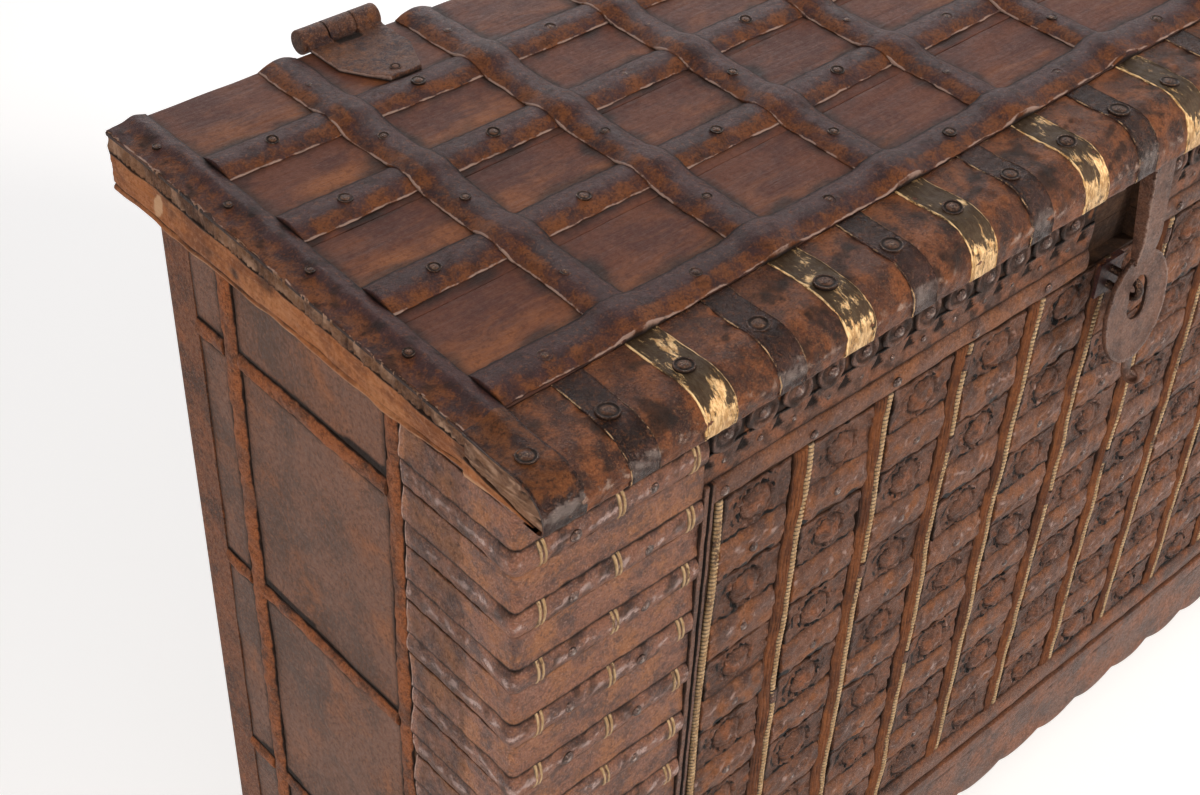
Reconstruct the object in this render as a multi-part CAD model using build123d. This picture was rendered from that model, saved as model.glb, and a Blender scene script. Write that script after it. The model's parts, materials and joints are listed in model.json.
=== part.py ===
from build123d import *

# Indian dowry chest: a tall iron-dressed case on short legs, a strap-bound lid hinged at the back,
# and a hasp that hangs from the lid's nose over a staple.
# Millimetres. The origin is on the floor under the middle of the bounding box: X runs along the
# chest's length, the front faces -Y and Z is up.

import math
import os

# ------------------------------------------------------------------ driving dimensions
# Case: bare wooden carcase, without its iron dressing
CASE_LENGTH = 1446.0
CASE_DEPTH = 456.0
LEG_HEIGHT = 75.0
POST_SIZE = 62.0
CORNER_RADIUS = 12.0
WALL_THICKNESS = 22.0
WALL_PLANKS = 4
PLANK_GAP = 0.6
TOP_RAIL_THICKNESS = 30.0
TOP_RAIL_HEIGHT = 110.0
SILL_THICKNESS = 40.0
SILL_RECESS = 25.0            # apron tips up to the underside of the sills
FLOOR_THICKNESS = 18.0
FLOOR_PLANKS = 10
FLOOR_CLEARANCE = 0.5
CUTTER_REACH = 100.0          # how far a cutting block runs past what it cuts

# Front, from the rim down: bare rail, frieze, border, panel, moulding, apron
RIM_MARGIN = 53.0
FRIEZE_HEIGHT = 61.0
BORDER_HEIGHT = 27.0
PANEL_HEIGHT = 632.0
MOULDING_HEIGHT = 35.0
APRON_HEIGHT = 105.0

# Front panel
PANEL_LENGTH = 1074.0
PANEL_COLUMNS = 10
PANEL_ROWS = 7
EDGE_BAR_WIDTH = 12.0
EDGE_BAR_RISE = 7.0
EDGE_GAP = 6.5
BEAD_WIDTH = 8.0
BEAD_RISE = 4.0
BEAD_CLEARANCE = 0.2
BATTEN_WIDTH = 16.0
BATTEN_RISE = 5.5
SQUARE_HEIGHT = 50.0
SHEET_THICKNESS = 1.5
BOSS_RADIUS = 17.0
BOSS_RISE = 4.0
LAP_HEIGHT = 34.0
LAP_THICKNESS = 1.6
BAND_RISE = 5.0
PANEL_MARGIN = 3.0
BORDER_RISE = 6.0
DRESSING_GAP = 0.4

# Frieze
FRIEZE_THICKNESS = 2.0
LOBE_RADIUS = 18.0
LOBE_PITCH = 39.6
FRIEZE_BAND_HEIGHT = 30.0
PIERCING_WIDTH = 13.0
PIERCING_HEIGHT = 11.0

# Lock recess, a hollow in the wood behind a break in the frieze and border
LOCK_WIDTH = 84.0
LOCK_DEPTH = 14.0

# Corner bands
BAND_COUNT = 13
BAND_SIDE_LEG = 129.0
BAND_LOWER_SHARE = 0.56
BAND_LIP = 5.0
BAND_THIN = 3.0
BAND_ROUND_RISE = 8.0
BAND_SEAM = 1.0
CLIP_WIDTH = 9.0
CLIP_THICKNESS = 1.5
CLIP_STEPS = 3
CLIP_PITCH = 76.0
CLIP_FROM_CORNER = 20.0
CLIP_TO_NAIL = 31.0

# Apron
MOULDING_RISE = 8.0
APRON_THICKNESS = 10.0
SCALLOP_COUNT = 19
SCALLOP_DEPTH = 10.0

# Side dressing, measured along the side
SHEATH_WIDTH = 48.0
SHEATH_THICKNESS = 2.0
NARROW_SHEET_WIDTH = 40.0
BACK_UPRIGHT_WIDTH = 22.0
FRONT_UPRIGHT_WIDTH = 18.0
UPRIGHT_RISE = 5.0
SIDE_STRAP_HEIGHT = 19.0
SIDE_STRAP_RISE = 5.0
SIDE_STRAP_FIRST = 109.0      # rim down to the first strap's middle
SIDE_STRAP_PITCH = 269.0

# Lid
LID_SIDE_OVERHANG = 22.0      # lid past the carcase at each end
BACK_OVERHANG = 25.0          # lid past the carcase's back
LID_HEIGHT = 52.0
LID_SEAT_GAP = 0.5
LID_BOARD_THICKNESS = 20.0
LID_PLANKS = 4
FRONT_OVERHANG = 56.0         # nose face to the carcase's front
RAIL_WIDTH = 30.0
FASCIA_DROP = 14.0            # end fascias hang past the lid's underside, clear of the case
FASCIA_CLEARANCE = 2.0
NOSE_DEPTH = 86.0
NOSE_RADIUS = 34.0
NOSE_LOWER_RADIUS = 5.0
NOSE_PLATE_THICKNESS = 1.5
NOSE_STRAP_THICKNESS = 2.5
BRASS_STRAP_WIDTH = 32.0
IRON_STRAP_WIDTH = 29.0
PLATE_GAP = 0.6

# Lid straps
BAYS = 10
STRAP_WIDTH = 39.0
EDGE_STRAP_WIDTH = 38.0
STRAP_RISE = 6.0
STRAP_CLEARANCE = 0.2
SADDLE_SLOPE = 12.0
STRAP_ROWS = (106.0, 230.0, 338.5, 436.0)   # nose face to each long strap's middle

# Nails
SMALL_HEAD_RADIUS = 6.5
SMALL_HEAD_RISE = 3.0
LARGE_HEAD_RADIUS = 10.0
LARGE_HEAD_RISE = 3.5
PANEL_HEAD_RADIUS = 4.5
PANEL_HEAD_RISE = 4.0
CORNER_HEAD_RADIUS = 5.5
CORNER_HEAD_RISE = 3.0
FRIEZE_HEAD_RADIUS = 5.5
FRIEZE_HEAD_RISE = 3.5
RIVET_RADIUS = 3.0
RIVET_RISE = 1.75
NOSE_NAIL_SETBACK = 41.0      # nose face to the large heads

# Hinges
HINGE_BAY = 1                 # bays between the lid's end and the hinge's own bay
HINGE_SETBACK = 14.0          # lid's back edge to the pin
HINGE_RISE = 4.0              # lid's top to the pin
BARREL_RADIUS = 11.0
BARREL_LENGTH = 82.0
MIDDLE_KNUCKLE = 27.0
KNUCKLE_GAP = 0.6
PIN_RADIUS = 4.0
PIN_CLEARANCE = 0.06
LEAF_THICKNESS = 4.0
LEAF_WIDTH = 75.0
LEAF_TIP_WIDTH = 37.0
LEAF_SHOULDER = 42.0
LOWER_LEAF_WIDTH = 60.0
LOWER_LEAF_TIP_WIDTH = 34.0
LOWER_LEAF_LENGTH = 120.0
LOWER_LEAF_DROP = 45.0        # rim down to the lower leaf's top
CRANK_DROP = 12.0             # rim down to the crank's upper corner
TONGUE_INSET = 5.0            # pin to the tongue's back face

# Hasp and staple
HASP_SETBACK = 32.0           # nose face to the hasp pin
HASP_DROP = 17.5              # lid's underside to the hasp pin
HASP_LEAN = 7.0               # degrees the hasp stands out from vertical, resting on the staple
HASP_KNUCKLE_RADIUS = 9.0
HASP_PIN_RADIUS = 3.5
EAR_THICKNESS = 8.0
EAR_GAP = 0.6
BRACKET_THICKNESS = 3.0
HASP_BACK = 6.0               # hasp pin's middle to the flat back of bar and plate
BAR_WIDTH = 33.0
BAR_TIP_WIDTH = 29.0
BAR_DEPTH = 15.5
BAR_TIP_DEPTH = 11.0
DISC_DROP = 161.0             # hasp pin to the plate's middle
DISC_WIDTH = 96.0
DISC_HEIGHT = 118.0
DISC_THICKNESS = 5.0
SLOT_DROP = 151.0             # hasp pin to the slot's middle
SLOT_WIDTH = 28.0
SLOT_HEIGHT = 46.0
TAIL_RADIUS = 12.0
TAIL_HOLE_RADIUS = 6.0
TAIL_WIDTH = 14.0
STAPLE_ROD_RADIUS = 4.0
STAPLE_HEIGHT = 26.0
STAPLE_TOP_GAP = 3.5
STAPLE_REACH = 8.0            # how far the staple passes the plate's back face
STAPLE_PLATE_WIDTH = 36.0
STAPLE_PLATE_HEIGHT = 38.0
STAPLE_PLATE_RISE = 7.0

# ------------------------------------------------------------------ derived places
LID_LENGTH = CASE_LENGTH + 2 * LID_SIDE_OVERHANG
LID_DEPTH = FRONT_OVERHANG + CASE_DEPTH + BACK_OVERHANG
HALF_CASE = CASE_LENGTH / 2
HALF_LID = LID_LENGTH / 2
FASCIA_THICKNESS = LID_SIDE_OVERHANG - BAND_ROUND_RISE - FASCIA_CLEARANCE
END_RAIL_X = HALF_LID - FASCIA_THICKNESS       # outer face of the end rails
HALF_PANEL = PANEL_LENGTH / 2

LEAN = math.radians(HASP_LEAN)
TAIL_Y = HASP_BACK - TAIL_RADIUS
TAIL_Z = -(DISC_DROP + DISC_HEIGHT / 2) - TAIL_RADIUS
TAIL_FRONT = HASP_SETBACK + TAIL_Y * math.cos(LEAN) + TAIL_Z * math.sin(LEAN) - TAIL_RADIUS
TAIL_OVERHANG = max(0.0, -TAIL_FRONT)

LID_FRONT_Y = (TAIL_OVERHANG - LID_DEPTH - HINGE_SETBACK - BARREL_RADIUS) / 2
LID_BACK_Y = LID_FRONT_Y + LID_DEPTH
FRONT_Y = LID_FRONT_Y + FRONT_OVERHANG
BACK_Y = FRONT_Y + CASE_DEPTH
HINGE_Y = LID_BACK_Y + HINGE_SETBACK

APRON_TOP_Z = LEG_HEIGHT + APRON_HEIGHT
MOULDING_TOP_Z = APRON_TOP_Z + MOULDING_HEIGHT
PANEL_TOP_Z = MOULDING_TOP_Z + PANEL_HEIGHT
BORDER_TOP_Z = PANEL_TOP_Z + BORDER_HEIGHT
FRIEZE_TOP_Z = BORDER_TOP_Z + FRIEZE_HEIGHT
RIM_Z = FRIEZE_TOP_Z + RIM_MARGIN
WALL_TOP_Z = RIM_Z - TOP_RAIL_HEIGHT

LID_UNDER_Z = RIM_Z + LID_SEAT_GAP
LID_TOP_Z = LID_UNDER_Z + LID_HEIGHT
LID_BOARD_Z = LID_TOP_Z - LID_BOARD_THICKNESS
HINGE_Z = LID_TOP_Z + HINGE_RISE
NOSE_BACK_Y = LID_FRONT_Y + NOSE_DEPTH
NOSE_COVER = NOSE_PLATE_THICKNESS + NOSE_STRAP_THICKNESS

BAND_PITCH = (RIM_Z - APRON_TOP_Z) / BAND_COUNT
COLUMN_PITCH = (PANEL_LENGTH - 2 * (EDGE_BAR_WIDTH + EDGE_GAP) - BEAD_WIDTH) / PANEL_COLUMNS
SQUARE_WIDTH = COLUMN_PITCH - BEAD_WIDTH - BATTEN_WIDTH - 2 * DRESSING_GAP
ROW_PITCH = (PANEL_HEIGHT - SQUARE_HEIGHT - 2 * PANEL_MARGIN) / (PANEL_ROWS - 1)
CROSS_BAND_HEIGHT = ROW_PITCH - SQUARE_HEIGHT - 2 * DRESSING_GAP
BEAD_XS = [(column - PANEL_COLUMNS / 2) * COLUMN_PITCH for column in range(PANEL_COLUMNS + 1)]
SQUARE_ZS = [
    PANEL_TOP_Z - PANEL_MARGIN - SQUARE_HEIGHT / 2 - row * ROW_PITCH for row in range(PANEL_ROWS)
]

STRAP_ROW_YS = [LID_FRONT_Y + row for row in STRAP_ROWS]
LEAF_LENGTH = LID_BACK_Y - STRAP_ROW_YS[-1] - STRAP_WIDTH / 2 - DRESSING_GAP
EDGE_STRAP_X = HALF_LID - EDGE_STRAP_WIDTH / 2
BAY = 2 * EDGE_STRAP_X / BAYS
CROSS_STRAP_XS = [(index - BAYS / 2) * BAY for index in range(1, BAYS)]
BAY_XS = [(index - (BAYS - 1) / 2) * BAY for index in range(BAYS)]

HASP_Y = LID_FRONT_Y + HASP_SETBACK
HASP_Z = LID_UNDER_Z - HASP_DROP
SLOT_Y = HASP_Y + HASP_BACK * math.cos(LEAN) - SLOT_DROP * math.sin(LEAN)
SLOT_Z = HASP_Z - HASP_BACK * math.sin(LEAN) - SLOT_DROP * math.cos(LEAN)
STAPLE_Z = SLOT_Z + SLOT_HEIGHT / 2 - STAPLE_TOP_GAP - STAPLE_HEIGHT / 2
STAPLE_TIP_Y = SLOT_Y - STAPLE_REACH


# ------------------------------------------------------------------ shape helpers
def slab(x, y, z):
    """A plain block between two planes on each axis."""
    middle = [(low + high) / 2 for low, high in (x, y, z)]
    size = [high - low for low, high in (x, y, z)]
    return Pos(*middle) * Box(*size)


def arch_bar(length, width, rise):
    """A flat-based bar with a shallow arched crown: along X, base on the XY plane."""
    half = width / 2
    base = Line((-half, 0), (half, 0))
    crown = ThreePointArc((half, 0), (0, rise), (-half, 0))
    profile = Plane.YZ * make_face([base, crown])
    return extrude(profile, amount=length / 2, both=True)


def dome(radius, rise):
    """A nail head: a spherical cap that rises from the XY plane."""
    ball_radius = (radius**2 + rise**2) / (2 * rise)
    ball = Pos(0, 0, rise - ball_radius) * Sphere(ball_radius)
    return ball & slab((-2 * radius, 2 * radius), (-2 * radius, 2 * radius), (0, 2 * rise))


def prism_x(points, x):
    """A straight bar along X with the given outline of (y, z) points."""
    outline = make_face(Polyline(*[(y, z) for y, z in points], close=True))
    return Pos(x[0], 0, 0) * extrude(Plane.YZ * outline, amount=x[1] - x[0])


ON_FRONT = Rot(90, 0, 0)                       # lays a +Z bulge on the front, bulging to -Y
UPRIGHT_ON_FRONT = Rot(90, 0, 0) * Rot(0, 0, 90)
TO_RIGHT_SIDE = Rot(0, 0, 90)                  # turns the front's dressing onto the right side


def front_bar(length, height, rise, x, z, y=FRONT_Y):
    return Pos(x, y, z) * ON_FRONT * arch_bar(length, height, rise)


def front_upright(length, width, rise, x, z, y=FRONT_Y):
    return Pos(x, y, z) * UPRIGHT_ON_FRONT * arch_bar(length, width, rise)


def on_right_side(shape, distance, z):
    """Puts a front-facing shape on the right side, that far back from the carcase's front."""
    return Pos(HALF_CASE, FRONT_Y + distance, z) * TO_RIGHT_SIDE * shape


def flipped(shapes):
    return [mirror(shape, about=Plane.YZ) for shape in shapes]


def group(shapes):
    solids = [solid for shape in shapes for solid in shape.solids()]
    return solids[0] if len(solids) == 1 else Compound(children=solids)


# ------------------------------------------------------------------ carcase
def rounded_block(x, y, z, corner, radius):
    """A block whose upright edge nearest to the corner, an (x, y) point, is rounded."""
    block = slab(x, y, z)
    outer = Vector(corner[0], corner[1], (z[0] + z[1]) / 2)
    edge = block.edges().filter_by(Axis.Z).sort_by(lambda edge: (edge.center() - outer).length)[0]
    return fillet(edge, radius)


def corner_post(side_x, side_y):
    """side_x and side_y are -1 or 1, and give the corner of the case."""
    x = sorted((side_x * HALF_CASE, side_x * (HALF_CASE - POST_SIZE)))
    y = (FRONT_Y, FRONT_Y + POST_SIZE) if side_y < 0 else (BACK_Y - POST_SIZE, BACK_Y)
    corner = (side_x * HALF_CASE, FRONT_Y if side_y < 0 else BACK_Y)
    return rounded_block(x, y, (0, RIM_Z), corner, CORNER_RADIUS)


BETWEEN_POSTS_X = (-HALF_CASE + POST_SIZE, HALF_CASE - POST_SIZE)
BETWEEN_POSTS_Y = (FRONT_Y + POST_SIZE, BACK_Y - POST_SIZE)


def lock_recess():
    return slab(
        (-LOCK_WIDTH / 2, LOCK_WIDTH / 2),
        (FRONT_Y - 1, FRONT_Y + LOCK_DEPTH),
        (PANEL_TOP_Z, FRIEZE_TOP_Z),
    )


def wall_planks(x, y):
    """Horizontal planks, one above the other, from the sill up to the top rail."""
    height = (WALL_TOP_Z - APRON_TOP_Z) / WALL_PLANKS
    levels = [APRON_TOP_Z + index * height for index in range(WALL_PLANKS)]
    return [slab(x, y, (low, low + height - PLANK_GAP)) for low in levels]


def front_boards():
    planks = wall_planks(BETWEEN_POSTS_X, (FRONT_Y, FRONT_Y + WALL_THICKNESS))
    return [plank - lock_recess() for plank in planks]


def side_boards(side):
    x = sorted((side * HALF_CASE, side * (HALF_CASE - WALL_THICKNESS)))
    return wall_planks(x, BETWEEN_POSTS_Y)


def long_rail(y, z):
    return slab(BETWEEN_POSTS_X, y, z)


def side_rails(thickness, z):
    right = slab((HALF_CASE - thickness, HALF_CASE), BETWEEN_POSTS_Y, z)
    return [right] + flipped([right])


def floor_boards():
    """Boards across the case on the sills, notched round the posts."""
    inset = WALL_THICKNESS + FLOOR_CLEARANCE
    y = (FRONT_Y + inset, BACK_Y - inset)
    low_x = -HALF_CASE + inset
    width = (2 * HALF_CASE - 2 * inset) / FLOOR_PLANKS
    z = (APRON_TOP_Z, APRON_TOP_Z + FLOOR_THICKNESS)
    boards = []
    for index in range(FLOOR_PLANKS):
        x = (low_x + index * width, low_x + (index + 1) * width - PLANK_GAP)
        board = slab(x, y, z)
        for side_x in (-1, 1):
            for corner_y in (FRONT_Y, BACK_Y):
                notch = 2 * (POST_SIZE + FLOOR_CLEARANCE)
                board -= Pos(side_x * HALF_CASE, corner_y, z[0]) * Box(notch, notch, 2 * notch)
        boards.append(board)
    return boards


# ------------------------------------------------------------------ front corners
def corner_path():
    """Plan line of the right corner bands, on the carcase, from the panel round to the side."""
    start = (HALF_PANEL + DRESSING_GAP, FRONT_Y)
    bend = (HALF_CASE - CORNER_RADIUS, FRONT_Y)
    turned = (HALF_CASE, FRONT_Y + CORNER_RADIUS)
    end = (HALF_CASE, FRONT_Y + BAND_SIDE_LEG)
    middle = (
        HALF_CASE - CORNER_RADIUS + CORNER_RADIUS * math.sin(math.pi / 4),
        FRONT_Y + CORNER_RADIUS - CORNER_RADIUS * math.cos(math.pi / 4),
    )
    return Wire([Edge.make_line(start, bend), ThreePointArc(bend, middle, turned), Edge.make_line(turned, end)])


LOWER_HEIGHT = BAND_PITCH * BAND_LOWER_SHARE
ROUND_HEIGHT = BAND_PITCH - LOWER_HEIGHT - BAND_SEAM
CORNER_PLANE = Plane(origin=(HALF_PANEL + DRESSING_GAP, FRONT_Y, 0), x_dir=(0, -1, 0), z_dir=(1, 0, 0))


def corner_band():
    """The plain lower strip of one right band, thicker at its lip, with its foot at z = 0."""
    outline = Polyline((0, 0), (BAND_LIP, 0), (BAND_THIN, LOWER_HEIGHT), (0, LOWER_HEIGHT), close=True)
    return sweep(CORNER_PLANE * upward(make_face(outline)), path=corner_path())


def corner_moulding():
    """The half-round upper strip of one right band, with its foot at z = 0."""
    back = Line((0, ROUND_HEIGHT), (0, 0))
    crown = ThreePointArc((0, 0), (BAND_ROUND_RISE, ROUND_HEIGHT / 2), (0, ROUND_HEIGHT))
    return sweep(CORNER_PLANE * upward(make_face([back, crown])), path=corner_path())


def upward(face):
    """CORNER_PLANE's own Y axis points down, so outlines drawn upwards are turned over."""
    return mirror(face, about=Plane.XZ)


def band_feet():
    return [APRON_TOP_Z + index * BAND_PITCH for index in range(BAND_COUNT)]


def clip_places():
    """X of each clip and of the nail beside it, on the right front stile."""
    clips = [HALF_CASE - CLIP_FROM_CORNER - step * CLIP_PITCH for step in range(CLIP_STEPS)]
    clips = [x for x in clips if x > HALF_PANEL + CLIP_WIDTH]
    nails = [x - CLIP_TO_NAIL for x in clips if x - CLIP_TO_NAIL > HALF_PANEL + CLIP_WIDTH]
    return clips, nails


def round_middle(foot):
    return foot + LOWER_HEIGHT + ROUND_HEIGHT / 2


def corner_clips():
    """A brass clip bent over each half-round strip."""
    height = ROUND_HEIGHT
    outer = arch_bar(CLIP_WIDTH, height, BAND_ROUND_RISE + CLIP_THICKNESS)
    inner = arch_bar(2 * CLIP_WIDTH, height, BAND_ROUND_RISE)
    clip = ON_FRONT * (outer - inner)
    clips = [Pos(x, FRONT_Y, round_middle(foot)) * clip for foot in band_feet() for x in clip_places()[0]]
    return clips + flipped(clips)


def corner_nails():
    head = ON_FRONT * dome(CORNER_HEAD_RADIUS, CORNER_HEAD_RISE)
    y = FRONT_Y - BAND_ROUND_RISE + DRESSING_GAP
    whole = [Pos(x, y, round_middle(foot)) * head for foot in band_feet() for x in clip_places()[1]]
    moulding = round_cutter()
    heads = [one - Pos(0, 0, round_middle(foot)) * moulding for one, foot in zip(whole, nail_feet())]
    return heads + flipped(heads)


def nail_feet():
    return [foot for foot in band_feet() for _ in clip_places()[1]]


def round_cutter():
    """The half-round strip's straight front run, which the nail heads are cut to sit on."""
    return Pos(0, FRONT_Y, 0) * ON_FRONT * arch_bar(CASE_LENGTH, ROUND_HEIGHT, BAND_ROUND_RISE)


# ------------------------------------------------------------------ front panel and frieze
def staple_boss():
    half = STAPLE_PLATE_WIDTH / 2
    y = (FRONT_Y - STAPLE_PLATE_RISE, FRONT_Y)
    z = (STAPLE_Z - STAPLE_PLATE_HEIGHT / 2, STAPLE_Z + STAPLE_PLATE_HEIGHT / 2)
    return slab((-half, half), y, z)


def clear_of_staple(shapes):
    """Cuts the dressing back round the staple's plate."""
    half = STAPLE_PLATE_WIDTH / 2 + DRESSING_GAP
    tall = STAPLE_PLATE_HEIGHT / 2 + DRESSING_GAP
    window = slab((-half, half), (FRONT_Y - CUTTER_REACH, FRONT_Y), (STAPLE_Z - tall, STAPLE_Z + tall))
    cleared = []
    for shape in shapes:
        box = shape.bounding_box()
        near_x = box.min.X < half and box.max.X > -half
        near_z = box.min.Z < STAPLE_Z + tall and box.max.Z > STAPLE_Z - tall
        cleared.append(shape - window if near_x and near_z else shape)
    return cleared


def embossed_square():
    """A sheet iron square with a round boss, and a lap on its left that covers the bead strip."""
    sheet = slab(
        (-SQUARE_WIDTH / 2, SQUARE_WIDTH / 2),
        (-SHEET_THICKNESS, 0),
        (-SQUARE_HEIGHT / 2, SQUARE_HEIGHT / 2),
    )
    boss = Pos(0, -SHEET_THICKNESS, 0) * ON_FRONT * dome(BOSS_RADIUS, BOSS_RISE)
    lap_x = -SQUARE_WIDTH / 2 - DRESSING_GAP - BEAD_WIDTH / 2
    outer_width = BEAD_WIDTH + 2 * LAP_THICKNESS
    outer = arch_bar(LAP_HEIGHT, outer_width, BEAD_RISE + LAP_THICKNESS)
    bead = arch_bar(2 * LAP_HEIGHT, BEAD_WIDTH + 2 * BEAD_CLEARANCE, BEAD_RISE + BEAD_CLEARANCE)
    lap = Pos(lap_x, 0, 0) * UPRIGHT_ON_FRONT * (outer - bead)
    left_x = (lap_x - CUTTER_REACH, lap_x - BEAD_WIDTH / 2)
    left_of_bead = slab(left_x, (-CUTTER_REACH, 0), (-CUTTER_REACH, CUTTER_REACH))
    return sheet + boss + (lap - left_of_bead)


def column_xs():
    """X of the middle of each column's squares, between a bead strip and the next batten."""
    shift = BEAD_WIDTH / 2 + DRESSING_GAP + SQUARE_WIDTH / 2
    return [x + shift for x in BEAD_XS[:-1]]


def embossed_squares():
    square = embossed_square()
    return clear_of_staple([Pos(x, FRONT_Y, z) * square for z in SQUARE_ZS for x in column_xs()])


def cross_band_zs():
    return [z - ROW_PITCH / 2 for z in SQUARE_ZS[:-1]]


def cross_bands():
    band = ON_FRONT * arch_bar(SQUARE_WIDTH, CROSS_BAND_HEIGHT, BAND_RISE)
    return clear_of_staple([Pos(x, FRONT_Y, z) * band for z in cross_band_zs() for x in column_xs()])


def panel_nails():
    """A domed nail in each cross band, and one in the border over each bead strip."""
    head = ON_FRONT * dome(PANEL_HEAD_RADIUS, PANEL_HEAD_RISE)
    seat = ON_FRONT * arch_bar(SQUARE_WIDTH, CROSS_BAND_HEIGHT, BAND_RISE)
    band_nail = Pos(0, -BAND_RISE + DRESSING_GAP, 0) * head - seat
    nails = [Pos(x, FRONT_Y, z) * band_nail for z in cross_band_zs() for x in column_xs()]
    border_seat = ON_FRONT * arch_bar(SQUARE_WIDTH, BORDER_HEIGHT, BORDER_RISE)
    border_nail = Pos(0, -BORDER_RISE + DRESSING_GAP, 0) * head - border_seat
    clear = LOCK_WIDTH / 2 + PANEL_HEAD_RADIUS
    xs = [x for x in BEAD_XS if abs(x) > clear]
    return nails + [Pos(x, FRONT_Y, PANEL_TOP_Z + BORDER_HEIGHT / 2) * border_nail for x in xs]


PANEL_MIDDLE_Z = MOULDING_TOP_Z + PANEL_HEIGHT / 2


def bead_strips():
    strips = [front_upright(PANEL_HEIGHT, BEAD_WIDTH, BEAD_RISE, x, PANEL_MIDDLE_Z) for x in BEAD_XS]
    return clear_of_staple(strips)


def battens():
    shift = -(BEAD_WIDTH + BATTEN_WIDTH) / 2 - DRESSING_GAP / 2
    width = BATTEN_WIDTH - DRESSING_GAP
    strips = [
        front_upright(PANEL_HEIGHT, width, BATTEN_RISE, x + shift, PANEL_MIDDLE_Z) for x in BEAD_XS[1:]
    ]
    cut = SHEET_THICKNESS + LAP_THICKNESS
    laps = [
        Pos(x, FRONT_Y, z) * UPRIGHT_ON_FRONT * arch_bar(LAP_HEIGHT + cut, BEAD_WIDTH + 2 * cut, BEAD_RISE + cut)
        for x in BEAD_XS[1:]
        for z in SQUARE_ZS
    ]
    return clear_of_staple([strip - Compound(children=laps) for strip in strips])


def edge_bars():
    x = HALF_PANEL - EDGE_BAR_WIDTH / 2
    z = (MOULDING_TOP_Z, BORDER_TOP_Z)
    bar = slab((x - EDGE_BAR_WIDTH / 2, x + EDGE_BAR_WIDTH / 2), (FRONT_Y - EDGE_BAR_RISE, FRONT_Y), z)
    return [bar] + flipped([bar])


def border_strap():
    """The half-round strap over the panel, broken at the lock recess."""
    inner = LOCK_WIDTH / 2
    outer = HALF_PANEL - EDGE_BAR_WIDTH - DRESSING_GAP
    right = front_bar(outer - inner, BORDER_HEIGHT - DRESSING_GAP, BORDER_RISE, (inner + outer) / 2,
                      PANEL_TOP_Z + BORDER_HEIGHT / 2)
    return [right] + flipped([right])


def lobe_xs():
    count = int(PANEL_LENGTH // LOBE_PITCH)
    return [(index - (count - 1) / 2) * LOBE_PITCH for index in range(count)]


LOBE_Z = FRIEZE_TOP_Z - LOBE_RADIUS


def frieze_strip():
    """A flat iron strip with a row of round lobes on a pierced band, broken at the lock recess."""
    band_top = BORDER_TOP_Z + FRIEZE_BAND_HEIGHT
    middle = (BORDER_TOP_Z + band_top) / 2
    strip = Pos(0, middle) * Rectangle(PANEL_LENGTH, FRIEZE_BAND_HEIGHT)
    strip += [Pos(x, LOBE_Z) * Circle(LOBE_RADIUS) for x in lobe_xs()]
    low = band_top - PIERCING_HEIGHT - FRIEZE_THICKNESS
    half = PIERCING_WIDTH / 2
    for x in [x + LOBE_PITCH / 2 for x in lobe_xs()[:-1]]:
        corners = ((x - half, low), (x + half, low), (x, low + PIERCING_HEIGHT))
        strip -= make_face(Polyline(*corners, close=True))
    strip -= Pos(0, middle) * Rectangle(LOCK_WIDTH, FRIEZE_HEIGHT + CUTTER_REACH)
    return [Pos(0, FRONT_Y, 0) * extrude(Plane.XZ * strip, amount=FRIEZE_THICKNESS)]


def frieze_nails():
    """A domed nail in each lobe, and a small rivet under it."""
    head = ON_FRONT * dome(FRIEZE_HEAD_RADIUS, FRIEZE_HEAD_RISE)
    rivet = ON_FRONT * dome(RIVET_RADIUS, RIVET_RISE)
    y = FRONT_Y - FRIEZE_THICKNESS
    rivet_z = BORDER_TOP_Z + FRIEZE_BAND_HEIGHT / 2
    xs = [x for x in lobe_xs() if abs(x) > LOCK_WIDTH / 2 + FRIEZE_HEAD_RADIUS]
    return [Pos(x, y, LOBE_Z) * head for x in xs] + [Pos(x, y, rivet_z) * rivet for x in xs]


def apron_moulding():
    z = APRON_TOP_Z + MOULDING_HEIGHT / 2
    return front_bar(PANEL_LENGTH, MOULDING_HEIGHT - DRESSING_GAP, MOULDING_RISE, 0, z)


def apron_board():
    """A board across the front of the sill and posts, with a scalloped lower edge."""
    half = HALF_CASE
    scallop = 2 * half / SCALLOP_COUNT
    cusp_z = LEG_HEIGHT + SCALLOP_DEPTH
    edge = [
        ThreePointArc(
            (half - index * scallop, cusp_z),
            (half - (index + 0.5) * scallop, LEG_HEIGHT),
            (half - (index + 1) * scallop, cusp_z),
        )
        for index in range(SCALLOP_COUNT)
    ]
    sides = Polyline((-half, cusp_z), (-half, APRON_TOP_Z), (half, APRON_TOP_Z), (half, cusp_z))
    outline = make_face(edge + sides.edges())
    return Pos(0, FRONT_Y, 0) * extrude(Plane.XZ * outline, amount=APRON_THICKNESS)


# ------------------------------------------------------------------ sides and back corners
BACK_UPRIGHT_S = CASE_DEPTH - SHEATH_WIDTH - NARROW_SHEET_WIDTH - BACK_UPRIGHT_WIDTH / 2
FRONT_UPRIGHT_S = BAND_SIDE_LEG + DRESSING_GAP + FRONT_UPRIGHT_WIDTH / 2
SIDE_MIDDLE_Z = (SILL_RECESS + LEG_HEIGHT + RIM_Z) / 2
SIDE_HEIGHT = RIM_Z - LEG_HEIGHT - SILL_RECESS


def side_strap_zs():
    """Middles of the cross straps, from the rim down, with one more along the foot."""
    foot = LEG_HEIGHT + SILL_RECESS + SIDE_STRAP_HEIGHT / 2 + DRESSING_GAP
    levels = []
    level = RIM_Z - SIDE_STRAP_FIRST
    while level > foot + SIDE_STRAP_HEIGHT:
        levels.append(level)
        level -= SIDE_STRAP_PITCH
    return levels + [foot]


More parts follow.
